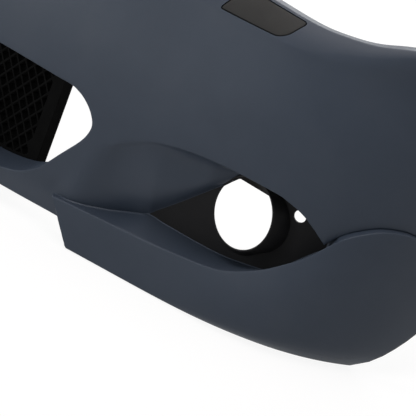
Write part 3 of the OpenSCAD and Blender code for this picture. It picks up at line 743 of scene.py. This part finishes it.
# The four corners of a grid's cells
CORNERS = [(0, 0), (0, 1), (1, 0), (1, 1)]


def at_corner(grid, dx, dy):
    """The part of a grid of points that holds one corner of each of its cells."""
    return grid[dx:grid.shape[0] - 1 + dx, dy:grid.shape[1] - 1 + dy]


def cut_cap(specs, outer, sharp, stations, kept):
    """Opens the washer cap's aperture and puts its edge on the rounded outline."""
    rows = rows_between(specs, shoulder)
    a, b = rows[0], rows[-1] + 1
    s, i = stations[:, a:b], line_number(shoulder)
    t = np.stack([line_share(i, s[:, k], specs[a + k][2]) for k in range(b - a)], axis=1)
    p, q = cap_local(s, t)
    hole = cap_distance(*(0.25 * sum(at_corner(v, *c) for c in CORNERS) for v in (p, q))) < 0
    kept[:, a:b - 1] &= ~hole
    near = np.zeros(p.shape, bool)
    for c in CORNERS:
        view = at_corner(near, *c)
        view |= hole
    edge = near & ~np.pad(np.all([at_corner(hole, *c) for c in CORNERS], axis=0), 1)
    moved = shoulder(*cap_surface(*cap_nearest(p[edge], q[edge])))
    for grid in (outer, sharp):
        grid[:, a:b][edge] = moved


def arch_flange(specs, ends, outer, sharp, kept):
    """Adds the flange that turns in along the wheel arch."""
    first = specs.index((line_number(shoulder), EDGE, 1.0))
    last = max(k for k in rows_between(specs, lip_line) if specs[k][2] < 0.9)
    share = np.clip((np.arange(len(specs)) - first) / (last - first), 0, 1)
    depth = mix(FLANGE_LEAST, ARCH_FLANGE, np.sin(math.pi * share))[:, None]
    a = turn(ends)
    inward = np.stack([-np.sin(a), np.cos(a), np.zeros_like(a)], axis=1)
    corner = np.concatenate([row_points(spec, ends[k:k + 1]) for k, spec in enumerate(specs)])
    bend = [rounding(outer[-1], corner, corner + inward * FLANGE_EDGE, t) for t in EDGE_STEPS[1:]]
    run = [corner + inward * mix(FLANGE_EDGE, depth, t) for t in FLANGE_RUN]
    cells = np.zeros((len(bend + run), kept.shape[1]), bool)
    cells[:, first:last] = True
    cells[:len(bend), :] = True
    sharp = np.concatenate([sharp, [corner] * len(bend) + run])
    return np.concatenate([outer, bend + run]), sharp, np.concatenate([kept, cells])


def inner_side(grid, kept):
    """Points a wall's thickness inside the grid, mitred around corners."""
    n = np.cross(grid[1:, 1:] - grid[:-1, :-1], grid[:-1, 1:] - grid[1:, :-1])
    size = np.linalg.norm(n, axis=-1, keepdims=True)
    real = kept & (size[..., 0] > 0.05)
    n = np.where(real[..., None], n / np.maximum(size, 1e-9), 0)
    total = np.zeros_like(grid)
    for c in CORNERS:
        view = at_corner(total, *c)
        view += n
    unit = total / np.maximum(np.linalg.norm(total, axis=-1, keepdims=True), 1e-9)
    least = np.ones(grid.shape[:2])
    for c in CORNERS:
        view = at_corner(least, *c)
        np.minimum(view, np.where(real, (at_corner(unit, *c) * n).sum(-1), 1.0), out=view)
    return grid + unit * (WALL / np.maximum(least, 0.62))[..., None]


def thin_tip(specs, rows, n):
    """How far the wall thins at each column and row, so that the intake's rounded end stays open."""
    base = columns()
    tip = np.zeros((n + 1) // 2)
    tip[:len(base)] = TIP_THIN * np.exp(-((base - TIP_S) / TIP_THIN_LENGTH) ** 2)
    walls = (line_number(upper_wall), line_number(lower_wall))
    brow = (line_number(face_line), EDGE)
    flange = np.array([specs[k][0] in walls or specs[k][:2] == brow for k in rows])
    return np.concatenate([tip[:0:-1], tip])[:, None] * flange


def aperture_skirt():
    """The return flange behind the aperture's edge: points and faces, on the left half."""
    rings = [on_cap(rounded_outline(*cap_half(inset)), drop) for inset, drop in SKIRT]
    n = len(rings[0])
    starts = [k * n for k in range(len(rings))]
    faces = [(a + (i + 1) % n, b + (i + 1) % n, b + i, a + i)
             for a, b in zip(starts, starts[1:] + starts[:1]) for i in range(n)]
    return np.concatenate(rings), faces


def skin(paint, raw):
    """The moulded skin with its wall, both halves in one piece."""
    specs, ends, outer, sharp, stations, kept = skin_grid()
    cut_cap(specs, outer, sharp, stations, kept)
    outer, sharp, kept = arch_flange(specs, ends, outer, sharp, kept)
    outer, sharp = (np.concatenate([side[:0:-1] * MIRROR, side]) for side in (outer, sharp))
    kept = np.concatenate([kept[::-1], kept])
    # The inner side has one row for all the rows of an edge's rounding
    middle = EDGE_STEPS.index(0.5)
    at = [k + middle - EDGE_STEPS.index(share) if kind == EDGE else k for k, (_, kind, share) in enumerate(specs)]
    rows, row_of = np.unique(at, return_inverse=True)
    cells = np.stack([kept[:, a:b].all(axis=1) for a, b in zip(rows, rows[1:])], axis=1)
    inside = inner_side(sharp[:, rows], cells)
    inside -= (inside - sharp[:, rows]) * thin_tip(specs, rows, len(outer))[..., None]
    outer_id = np.arange(outer.size // 3).reshape(outer.shape[:2])
    inner_id = outer_id.size + np.arange(inside.size // 3).reshape(inside.shape[:2])[:, row_of]
    faces, slots, edges = [], [], {}
    for c, r in zip(*np.nonzero(kept)):
        quad = [(c, r), (c, r + 1), (c + 1, r + 1), (c + 1, r)]
        faces.append([outer_id[v] for v in quad])
        slots.append(0)
        back = ring([inner_id[v] for v in quad[::-1]])
        if len(back) > 2:
            faces.append(back)
            slots.append(1)
        for v, w in zip(quad, quad[1:] + quad[:1]):
            if edges.pop((w, v), None) is None:
                edges[v, w] = True
    faces += [ring([outer_id[w], outer_id[v], inner_id[v], inner_id[w]]) for v, w in edges]
    slots += [0] * len(edges)
    points, skirt = aperture_skirt()
    start = outer_id.size + inside.size // 3
    faces += [[start + v for v in f] for f in skirt]
    faces += [[start + len(points) + v for v in f[::-1]] for f in skirt]
    slots += [1] * (2 * len(skirt))
    points = np.concatenate([outer.reshape(-1, 3), inside.reshape(-1, 3), points, points * MIRROR])
    return mesh_object("skin_surface", points, faces, [paint, raw], slots)


def inside_polygon(points, polygon):
    """Which points lie inside a polygon."""
    x, y = points[:, 0], points[:, 1]
    inside = np.zeros(len(points), bool)
    for (x0, y0), (x1, y1) in zip(polygon, np.roll(polygon, -1, axis=0)):
        if y0 != y1:
            inside ^= ((y0 > y) != (y1 > y)) & (x < (x1 - x0) * (y - y0) / (y1 - y0) + x0)
    return inside


def fill(loop, spacing=None, holes=()):
    """Triangles inside a loop, with inner points on a grid where a spacing is given: 2-D points and triangles."""
    grid = np.zeros((0, 2))
    if spacing is not None:
        low, high = loop.min(0), loop.max(0)
        grid = np.stack(np.meshgrid(*(np.arange(low[k], high[k], spacing) for k in (0, 1))), -1).reshape(-1, 2)
        grid = grid[inside_polygon(grid, loop)]
        near = np.min(np.linalg.norm(grid[:, None] - loop[None], axis=-1), axis=1)
        grid = grid[near > 0.7 * spacing]
    points = np.concatenate([loop, *holes, grid])
    edges, start = [], 0
    for part in (loop, *holes):
        n = len(part)
        edges += [(start + k, start + (k + 1) % n) for k in range(n)]
        start += n
    found = delaunay_2d_cdt([Vector(p) for p in points], edges, [], 0, 1e-6, True)
    verts = np.array([tuple(v) for v in found[0]])
    tris = np.array(found[2])
    middle = verts[tris].mean(axis=1)
    good = inside_polygon(middle, loop)
    for hole in holes:
        box = (middle >= hole.min(0)).all(1) & (middle <= hole.max(0)).all(1)
        good[box] &= ~inside_polygon(middle[box], hole)
    return verts, tris[good]


def clip_polygon(shape, normal, offset):
    """The part of a convex polygon where normal . p <= offset."""
    out = []
    for p, q in zip(shape, np.roll(shape, -1, axis=0)):
        a, b = p @ normal - offset, q @ normal - offset
        if a <= 0:
            out.append(p)
        if (a < 0 < b) or (b < 0 < a):
            out.append(p + (q - p) * (a / (a - b)))
    return np.array(out)


def side_normals(d):
    return np.stack([d[:, 1], -d[:, 0]], axis=1) / np.linalg.norm(d, axis=1)[:, None]


def offset_polygon(shape, amount):
    """A convex polygon, counter-clockwise, with its sides moved outward."""
    n = side_normals(np.roll(shape, -1, axis=0) - shape)
    before = np.roll(n, 1, axis=0)
    return shape + amount * (n + before) / (1 + (n * before).sum(1))[:, None]


def offset_loop(loop, amount):
    """A loop with gentle corners, counter-clockwise, moved outward."""
    return loop + amount * side_normals(np.roll(loop, -1, axis=0) - np.roll(loop, 1, axis=0))


def polygon_area(p):
    return 0.5 * float(np.sum(p[:, 0] * np.roll(p[:, 1], -1) - np.roll(p[:, 0], -1) * p[:, 1]))


def washer_cap(name, material, mirrored):
    """The washer's cover: crowned with the shoulder, with a rounded edge and a boss for its piston."""
    shell = Shell()
    edge = [(rounded_outline(*cap_half(CAP_GAP + inset)), drop) for inset, drop in CAP_EDGE]
    for (loop, drop), spacing, back in zip((edge[0], edge[-1]), CAP_FILL, (False, True)):
        flat, tris = fill(loop, spacing)
        shell.sheet(on_cap(flat, drop), tris, back)
    shell.bands([on_cap(loop, drop) for loop, drop in edge], True)
    across = circle(BOSS_SIDES) @ np.stack([WASHER_U, WASHER_V])
    starts = shell.bands([WASHER_AT + across * r - WASHER_W * drop for r, drop in BOSS], True)
    shell.lid(starts[-1], BOSS_SIDES)
    if mirrored:
        shell.faces = [f[::-1] for f in shell.faces]
    return shell.piece(name, [material], 40.0, mirrored)


SPRING_TURNS, COIL_R, WIRE_R = 12, 7.575, 0.7
SPRING_ENDS = (-121.25, -40.75)
GLAND_END = -40.0
COIL_SIDES, WIRE_SIDES = 24, 10


def return_spring(name, material, mirrored):
    """The coil that pulls the washer back, between the cylinder's gland and the piston's head."""
    angle = np.linspace(0, 2 * math.pi * SPRING_TURNS, COIL_SIDES * SPRING_TURNS + 1)[:, None, None]
    drop = np.linspace(*SPRING_ENDS, len(angle))[:, None, None]
    wire = WIRE_R * circle(WIRE_SIDES)[None]
    out = (COIL_R + wire[..., :1]) * (WASHER_U * np.cos(angle) + WASHER_V * np.sin(angle))
    shell = Shell()
    starts = shell.bands(list(WASHER_AT + out + WASHER_W * (drop + wire[..., 1:])))
    for start in (starts[0], starts[-1]):
        shell.lid(start, WIRE_SIDES)
    flip = MIRROR if mirrored else np.ones(3)
    obj = shell.piece(name, [material], 60.0, mirrored)
    return obj, WASHER_W * flip, to_frame((WASHER_AT + WASHER_W * GLAND_END) * flip)


SEAT_OUT = np.array([0.0, -math.cos(FOG_TILT), math.sin(FOG_TILT)])
SEAT_UP = np.array([0.0, math.sin(FOG_TILT), math.cos(FOG_TILT)])
PLATE_OUT = np.array([math.sin(BEZEL_TURN), -math.cos(BEZEL_TURN), 0.0])
PLATE_ALONG = np.array([math.cos(BEZEL_TURN), math.sin(BEZEL_TURN), 0.0])
PLATE_FRONT, PLATE_BACK, PLATE_EDGE = -0.3, -3.8, 0.5
PLATE_FILL = 4.0
BEZEL_GAP, BEZEL_LAP = 0.6, 2.4
# The collar's rim: radius past the opening's, and depth
RIM = [(2.2, 1.0), (2.05, 0.4), (1.6, 0.05), (0.6, 0.0), (0.15, 0.2), (0.0, 0.8)]
# How the collar's wall flares towards the nose and drafts away from it, as it goes back
FLARE, DRAFT, DRAFT_TURN = (-0.77, -0.41), 0.08, 0.6
HOOD_Z, HOOD_SLOPE = 185.7, 0.088
FOLD_AT, FOLD_LEAN, FOLD_SLOPE, FOLD_SOFT = (192.5, 164.5), 0.157, 0.25, 4.0
AIM_AT, AIM_R, AIM_SIDES = (184.6, 168.0), 8.0, 48
AROUND = 128


def plate_fold(flat):
    """How far the plate's rear wing leans back, past a soft fold."""
    past = (flat[:, 0] - FOLD_AT[0] + FOLD_LEAN * (flat[:, 1] - FOLD_AT[1])) / math.hypot(1, FOLD_LEAN)
    return FOLD_SLOPE * 0.5 * (past + np.sqrt(past**2 + FOLD_SOFT**2))


def on_plate(flat, w):
    """Points of the bezel's plate from their place along it and height, w in front of its plane."""
    out = PLATE_OUT * (w - plate_fold(flat))[:, None]
    return BEZEL_AT * [1.0, 1.0, 0.0] + out + PLATE_ALONG * flat[:, :1] + np.array([0.0, 0.0, 1.0]) * flat[:, 1:]


def plate_local(points, fall=0.0):
    """Points' places along the bezel's plate and heights, lowered."""
    return np.stack([(points - BEZEL_AT) @ PLATE_ALONG, points[:, 2] - fall], axis=1)


def bezel(name, material, matt_painted_shade, mirrored):
    """The plate in the eye-shaped recess, with the fog lamp's collar and the aiming hole."""
    s = np.linspace(*EYE_S, 140)
    top = plate_local(scoop_arc(s, np.ones_like(s)), BEZEL_GAP)
    low = plate_local(spot(s, shelf_d(s), shelf_z(s)), BEZEL_LAP)
    low[:, 1] -= 0.6 * plate_fold(low)
    outline = np.concatenate([low, top[::-1]])
    way = circle(AROUND)
    ray = way @ np.stack([[1.0, 0.0, 0.0], SEAT_UP])
    flare = np.maximum(0, way @ FLARE)
    draft = DRAFT * np.maximum(0, way @ (math.cos(DRAFT_TURN), -math.sin(DRAFT_TURN)))

    def meet(edge, grow, w, margin):
        """Where the collar's wall, growing with its depth, meets a plane of the plate, within its outline."""
        r, start = FOG_R + edge[0], edge[1]
        slope = ray @ PLATE_OUT
        short = w - (FOG_AT - BEZEL_AT) @ PLATE_OUT - (r - grow * start) * slope
        depth = short / (grow * slope - SEAT_OUT @ PLATE_OUT)
        p = plate_local(FOG_AT + ray * (r + grow * (depth - start))[:, None] - SEAT_OUT * depth[:, None])
        z = np.minimum(p[:, 1], np.interp(p[:, 0], *top.T) - margin)
        return np.stack([p[:, 0], np.maximum(z, np.interp(p[:, 0], *low.T) + margin)], axis=1)

    outer = meet(RIM[0], flare + draft, PLATE_FRONT, 0.8)
    inner = meet(RIM[-1], flare, PLATE_BACK, 2.4)
    inner[:, 1] = np.minimum(inner[:, 1], HOOD_Z - HOOD_SLOPE * inner[:, 0])
    aim, aim_wide = (np.array(AIM_AT) + r * circle(AIM_SIDES) for r in (AIM_R, AIM_R + PLATE_EDGE))
    front = offset_loop(outline, -PLATE_EDGE)
    shell = Shell()
    for loop, holes, w in ((front, [outer, aim_wide], PLATE_FRONT), (outline, [inner, aim], PLATE_BACK)):
        flat, tris = fill(loop, PLATE_FILL, holes)
        shell.sheet(on_plate(flat, w), tris, w == PLATE_BACK)
    for wide, loop in ((front, outline), (aim_wide, aim)):
        levels = (wide, PLATE_FRONT), (loop, PLATE_FRONT - PLATE_EDGE), (loop, PLATE_BACK)
        shell.bands([on_plate(flat, w) for flat, w in levels])
    rim = [FOG_AT + ray * (FOG_R + r) - SEAT_OUT * depth for r, depth in RIM]
    shell.bands([on_plate(outer, PLATE_FRONT), *rim, on_plate(inner, PLATE_BACK)])
    # The collar's inner wall is the last band; it takes the darker, matt grille plastic, whose darker colour is
    # painted shade inside the collar
    slots = [0] * (len(shell.faces) - AROUND) + [1] * AROUND
    return shell.piece(name, [material, matt_painted_shade], 32.0, mirrored, slots)


CELL_W, CELL_H, BAR_W = 19.0, 22.0, 3.0
CELL_MID, RAIL_H, POST_W, POST_LEAN, POST_AT = 128.0, 7.0, 21.0, 0.058, 374.0
CELL_ROWS, CELL_COLUMNS = 8, 21
# A clipped cell is left out below this share of a whole one, and loses sides shorter than this
CELL_LEAST, CELL_SIDE = 0.2, 0.3
POST_S, POST_FOOT = 390.0, 3.0
GRILLE_FRONT, GRILLE_DEPTH = GRILLE_Y + 0.6, 16.0
BAR_EDGE, FRAME_EDGE = 0.55, 0.6


def grille_heights(s):
    """Heights of the grille's lower and upper edge."""
    return intake_z(s) + flange_rise(s) - WALL, brow_z(s) - INTAKE_TOP_FALL + WALL


def grille_cells(low, top):
    """The grille's diamond openings, clipped by its rails and posts."""
    share = 1 - BAR_W * math.hypot(CELL_W, CELL_H) / (CELL_W * CELL_H)
    diamond = np.array([[CELL_W / 2, 0], [0, CELL_H / 2], [-CELL_W / 2, 0], [0, -CELL_H / 2]]) * share
    least = CELL_LEAST * polygon_area(diamond)
    cells = []
    for k in range(-CELL_ROWS, CELL_ROWS + 1):
        for i in range(-CELL_COLUMNS, CELL_COLUMNS + 1):
            c = np.array([(i + (abs(k) % 2) / 2) * CELL_W, CELL_MID + k * CELL_H / 2])
            shape, x = diamond + c, abs(c[0])
            cuts = []
            for (at_x, at_z), up in ((low, -1.0), (top, 1.0)):
                tilt = (np.interp(x + 1, at_x, at_z) - np.interp(x - 1, at_x, at_z)) / 2 * np.sign(c[0])
                limit = np.interp(x, at_x, at_z) - up * RAIL_H
                cuts.append(((-up * tilt, up), up * (limit - tilt * c[0])))
            cuts.append(((1.0 if c[0] >= 0 else -1.0, -POST_LEAN), POST_AT - POST_W))
            for normal, offset in cuts:
                shape = clip_polygon(shape, np.array(normal), offset) if len(shape) > 2 else shape
            if len(shape) > 2:
                shape = shape[np.linalg.norm(shape - np.roll(shape, 1, axis=0), axis=1) > CELL_SIDE]
            if len(shape) > 2 and polygon_area(shape) > least:
                cells.append(shape)
    return cells


def grille(material):
    """The mesh grille: clipped diamond cells with eased front edges, in a frame with a plain post at each end."""
    s = np.linspace(0, 360, 60)
    low, top = ((spot(s, face(s, edge), edge)[:, 0], z)
                for edge, z in zip((intake_z(s), brow_z(s)), grille_heights(s)))
    post_low, post_top = (float(z[0]) for z in grille_heights(np.array([POST_S])))
    post = [[POST_AT + POST_LEAN * post_low, post_low - POST_FOOT], [POST_AT + POST_LEAN * post_top, post_top]]
    right = np.concatenate([np.stack(low, 1), post, np.stack(top, 1)[::-1]])
    outline = np.concatenate([right, (right * [-1, 1])[-2:0:-1]])
    cells = grille_cells(low, top)
    back = GRILLE_DEPTH
    shell = Shell()

    def upright(flat, depth):
        return np.stack([flat[:, 0], np.full(len(flat), GRILLE_FRONT + depth), flat[:, 1]], axis=1)

    wide = [offset_polygon(c, BAR_EDGE) for c in cells]
    front = offset_loop(outline, -FRAME_EDGE)
    flat, tris = fill(front, None, wide)
    shell.sheet(upright(flat, 0.0), tris)
    flat, tris = fill(outline, None, cells)
    shell.sheet(upright(flat, back), tris, True)
    for c, w in zip(cells, wide):
        middle = offset_polygon(c, 0.3 * BAR_EDGE)
        levels = (c, back), (c, BAR_EDGE), (middle, 0.3 * BAR_EDGE), (w, 0.0)
        shell.bands([upright(*level) for level in levels])
    shell.bands([upright(front, 0.0), upright(outline, FRAME_EDGE), upright(outline, back)])
    return shell.piece("grille_mesh", [material], 30.0)


def srgb(r, g, b):
    """A colour written as 8-bit sRGB, in linear light."""
    c = np.array([r, g, b]) / 255
    lin = np.where(c <= 0.04045, c / 12.92, ((c + 0.055) / 1.055) ** 2.4)
    return (*lin.tolist(), 1.0)


def grey(v):
    return (v, v, v, 1.0)


def add_node(tree, kind, *links, **inputs):
    """A new node's outputs: its first inputs linked, others set, or linked where a socket is given."""
    node = tree.nodes.new(kind)
    for source, socket in zip(links, node.inputs):
        tree.links.new(source, socket)
    for name, value in inputs.items():
        if isinstance(value, bpy.types.NodeSocket):
            tree.links.new(value, node.inputs[name])
        else:
            node.inputs[name].default_value = value
    return node.outputs


def new_material(name):
    material = bpy.data.materials.new(name)
    material.use_nodes = True
    return material


class Surface:
    """A material in the making, with patterns that lie on the object."""

    def __init__(self, name):
        self.material = new_material(name)
        self.tree = self.material.node_tree
        self.shader = self.tree.nodes["Principled BSDF"].inputs
        self.place = self.node("ShaderNodeTexCoord")["Object"]
        self.relief = {}

    def node(self, kind, **inputs):
        return add_node(self.tree, kind, **inputs)

    def noise(self, scale, detail, rough=0.5, stretch=None):
        place = self.place
        if stretch is not None:
            place = self.node("ShaderNodeMapping", Vector=place, Scale=stretch)["Vector"]
        return self.node("ShaderNodeTexNoise", Vector=place, Scale=scale, Detail=detail, Roughness=rough)["Fac"]

    def shade(self, socket, pattern, *stops):
        """Drives a value of the shader by a pattern, through the colours at its stops."""
        out = self.node("ShaderNodeValToRGB", Fac=pattern)["Color"]
        e = out.node.color_ramp.elements
        e[0].position, e[0].color = stops[0]
        e[1].position, e[1].color = stops[-1]
        for position, colour in stops[1:-1]:
            e.new(position).color = colour
        self.tree.links.new(out, self.shader[socket])

    def bump(self, height, strength, distance):
        """Adds relief to what the surface has."""
        out = self.node("ShaderNodeBump", Height=height, Strength=strength, Distance=distance, **self.relief)
        self.relief = {"Normal": out["Normal"]}
        self.tree.links.new(out["Normal"], self.shader["Normal"])


def painted_primer():
    """Satin blue-grey primer: fine spray texture and faint mottling."""
    m = Surface("satin_primer")
    mottle = m.noise(9.0, 5.0, 0.55)
    m.shade("Base Color", mottle, (0.3, srgb(56, 65, 78)), (0.52, srgb(60, 69, 82)), (0.74, srgb(65, 73, 85)))
    m.shade("Roughness", m.noise(260.0, 3.0, 0.6), (0.3, grey(0.38)), (0.7, grey(0.48)))
    m.bump(m.noise(420.0, 2.0), 0.10, 0.0006)
    m.bump(m.noise(2600.0, 2.0), 0.08, 0.0002)
    m.shader["Specular IOR Level"].default_value = 0.25
    return m.material


def moulded(name, dark, light, rough, grain, depth, shine):
    """Grained black or charcoal plastic."""
    m = Surface(name)
    m.shade("Base Color", m.noise(14.0, 5.0, 0.6), (0.3, dark), (0.7, light))
    m.shade("Roughness", m.noise(60.0, 4.0, 0.6), (0.3, grey(rough - 0.06)), (0.7, grey(rough + 0.06)))
    m.bump(m.node("ShaderNodeTexVoronoi", Vector=m.place, Scale=grain)["Distance"], 0.35, depth)
    m.bump(m.noise(grain * 2.3, 2.0), 0.2, depth * 0.5)
    m.shader["Specular IOR Level"].default_value = shine
    return m.material


def raw_back():
    """The skin's unpainted inner side: dark moulded plastic with flow marks and overspray."""
    m = Surface("raw_inner_plastic")
    flow = m.noise(5.0, 6.0, 0.62, (1.0, 1.0, 4.0))
    m.shade("Base Color", flow, (0.28, srgb(34, 35, 37)), (0.55, srgb(42, 43, 46)), (0.78, srgb(54, 57, 63)))
    m.shade("Roughness", m.noise(40.0, 4.0, 0.6), (0.3, grey(0.42)), (0.7, grey(0.6)))
    m.bump(m.noise(900.0, 3.0, 0.6), 0.25, 0.0002)
    return m.material


def zinc():
    """Zinc-plated steel: cloudy, slightly brushed."""
    m = Surface("zinc_steel")
    m.shade("Base Color", m.noise(120.0, 5.0, 0.6), (0.3, srgb(150, 152, 154)), (0.7, srgb(186, 187, 186)))
    m.shader["Metallic"].default_value = 1.0
    brush = m.noise(300.0, 4.0, 0.6, (1.0, 6.0, 6.0))
    m.shade("Roughness", brush, (0.3, grey(0.26)), (0.7, grey(0.44)))
    m.bump(brush, 0.12, 0.0001)
    return m.material


# Widths of the CAD nodes' eased edges, on plastic and on small steel pieces
EASE, FINE_EASE = 0.0006, 0.0003


def dress_node(name, material, edge=EASE):
    """Gives a CAD node its material and eased edges."""
    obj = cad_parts[name]
    obj.data.materials.clear()
    obj.data.materials.append(material)
    mod = obj.modifiers.new("eased_edges", "BEVEL")
    mod.width = edge
    mod.segments = 2
    mod.limit_method = "ANGLE"
    mod.angle_limit = math.radians(40)


def place_in_scene(name, data):
    obj = bpy.data.objects.new(name, data)
    bpy.context.scene.collection.objects.link(obj)
    return obj


def camera():
    """The photograph's view: front left corner from above, rolled."""
    a, e, r = (math.radians(v) for v in (37.0, 22.0, 19.8))
    distance, mm_px, px, sensor = 2.0, 1.236, 416, 36.0
    target, at = Vector((0.66, -0.130292, 0.14)), (243.0, 214.0)
    back = Vector((math.sin(a) * math.cos(e), -math.cos(a) * math.cos(e), math.sin(e)))
    right = Vector((math.cos(a), math.sin(a), 0.0))
    up = back.cross(right)
    x = math.cos(r) * right + math.sin(r) * up
    y = -math.sin(r) * right + math.cos(r) * up
    focal = distance / (mm_px * MM)
    across, down = ((v - px / 2) / focal * distance for v in at)
    data = bpy.data.cameras.new("camera")
    data.sensor_width = sensor
    data.lens = focal / px * sensor
    data.clip_end = 60.0
    obj = place_in_scene("camera", data)
    obj.matrix_world = Matrix((x, y, back)).transposed().to_4x4()
    obj.location = target + back * distance - x * across + y * down
    bpy.context.scene.camera = obj


def area_light(name, place, target, size, power, colour=(1.0, 1.0, 1.0)):
    data = bpy.data.lights.new(name, "AREA")
    data.shape = "RECTANGLE"
    data.size, data.size_y = size
    data.energy = power
    data.color = colour
    obj = place_in_scene(name, data)
    obj.location = place
    obj.rotation_euler = (Vector(target) - Vector(place)).to_track_quat("-Z", "Y").to_euler()


def by_ray(tree, unseen, seen, output):
    """Shows the second shader to the camera's rays and to those that a gloss or a clear piece sends on."""
    path = add_node(tree, "ShaderNodeLightPath")
    either = path["Is Camera Ray"]
    for kind in ("Is Glossy Ray", "Is Transmission Ray"):
        either = add_node(tree, "ShaderNodeMath", either, path[kind])[0]
        either.node.operation = "MAXIMUM"
    blend = add_node(tree, "ShaderNodeMixShader", either, unseen, seen)[0]
    tree.links.new(blend, tree.nodes[output].inputs["Surface"])


def studio():
    """Pale floor that reads white and keeps a faint shadow, soft lights and a white surround."""
    mesh = bpy.data.meshes.new("floor")
    half = 30.0
    mesh.from_pydata([(-half, -half, 0), (half, -half, 0), (half, half, 0), (-half, half, 0)], [], [(0, 1, 2, 3)])
    floor = place_in_scene("floor", mesh)
    floor.location.z = -0.0005
    material = new_material("pale_floor")
    tree = material.node_tree
    tree.nodes.remove(tree.nodes["Principled BSDF"])
    pale, thin = (add_node(tree, "ShaderNodeBsdfDiffuse", Color=grey(v))[0] for v in (0.72, 0.16))
    glow = add_node(tree, "ShaderNodeEmission", Strength=0.9)[0]
    by_ray(tree, pale, add_node(tree, "ShaderNodeAddShader", thin, glow)[0], "Material Output")
    mesh.materials.append(material)

    world = bpy.data.worlds.new("studio")
    world.use_nodes = True
    tree = world.node_tree
    ambient = tree.nodes["Background"]
    ambient.inputs["Color"].default_value = (0.93, 0.96, 1.0, 1.0)
    ambient.inputs["Strength"].default_value = 0.08
    white = add_node(tree, "ShaderNodeBackground", Color=grey(1.0), Strength=1.0)[0]
    by_ray(tree, ambient.outputs[0], white, "World Output")
    bpy.context.scene.world = world

    area_light("overhead", (0.3, -0.3, 3.0), (0.5, -0.1, 0.2), (2.6, 2.2), 49.0, (1.0, 0.93, 0.91))
    area_light("front", (-0.6, -3.0, 0.9), (0.5, -0.1, 0.2), (2.0, 1.4), 22.5, (0.97, 1.0, 1.02))
    area_light("back", (-0.3, 2.8, 1.9), (0.0, 0.1, 0.25), (2.4, 1.6), 40.0)
    area_light("front_top", (0.4, -1.6, 2.9), (0.5, -0.1, 0.2), (2.4, 1.6), 11.0, (1.0, 0.96, 0.95))


camera()
studio()
primer = painted_primer()
inner = raw_back()
trim = moulded("black_grained_plastic", srgb(31, 31, 32), srgb(38, 38, 39), 0.56, 1100.0, 0.00012, 0.1)
mesh_black = moulded("black_grille_plastic", srgb(13, 13, 13), srgb(19, 19, 19), 0.66, 1300.0, 0.0001, 0.02)
cover = moulded("charcoal_cap_plastic", srgb(44, 44, 44), srgb(52, 52, 51), 0.58, 1300.0, 0.0001, 0.2)
steel = zinc()

piece = skin(primer, inner)
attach(piece, "cover")
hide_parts("bumper_skin")

piece = grille(mesh_black)
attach(piece, "cover")
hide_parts("centre_grille")

for side in ("left", "right"):
    piece = washer_cap("cap_" + side, cover, side == "right")
    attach(piece, "washer_" + side)
    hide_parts("washer_cap_" + side)
    # The bezel's collar wall gets the grille's darker plastic: painted shade inside the collar
    piece = bezel("bezel_" + side, trim, mesh_black, side == "right")
    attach(piece, "cover")
    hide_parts("fog_bezel_" + side)
    for node in ("washer_piston", "washer_cylinder", "washer_bracket", "side_rail"):
        dress_node(node + "_" + side, trim)
    piece, axis, gland = return_spring("return_spring_" + side, steel, side == "right")
    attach(piece, "cover")
    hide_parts("washer_spring_" + side)
    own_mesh(piece)
    dress_node("washer_screws_" + side, steel, FINE_EASE)
for node in ("upper_strip", "undertray_strip"):
    dress_node(node, trim)
for node in ("grille_clips", "undertray_nuts"):
    dress_node(node, steel, FINE_EASE)

bpy.context.scene.view_settings.view_transform = "Standard"
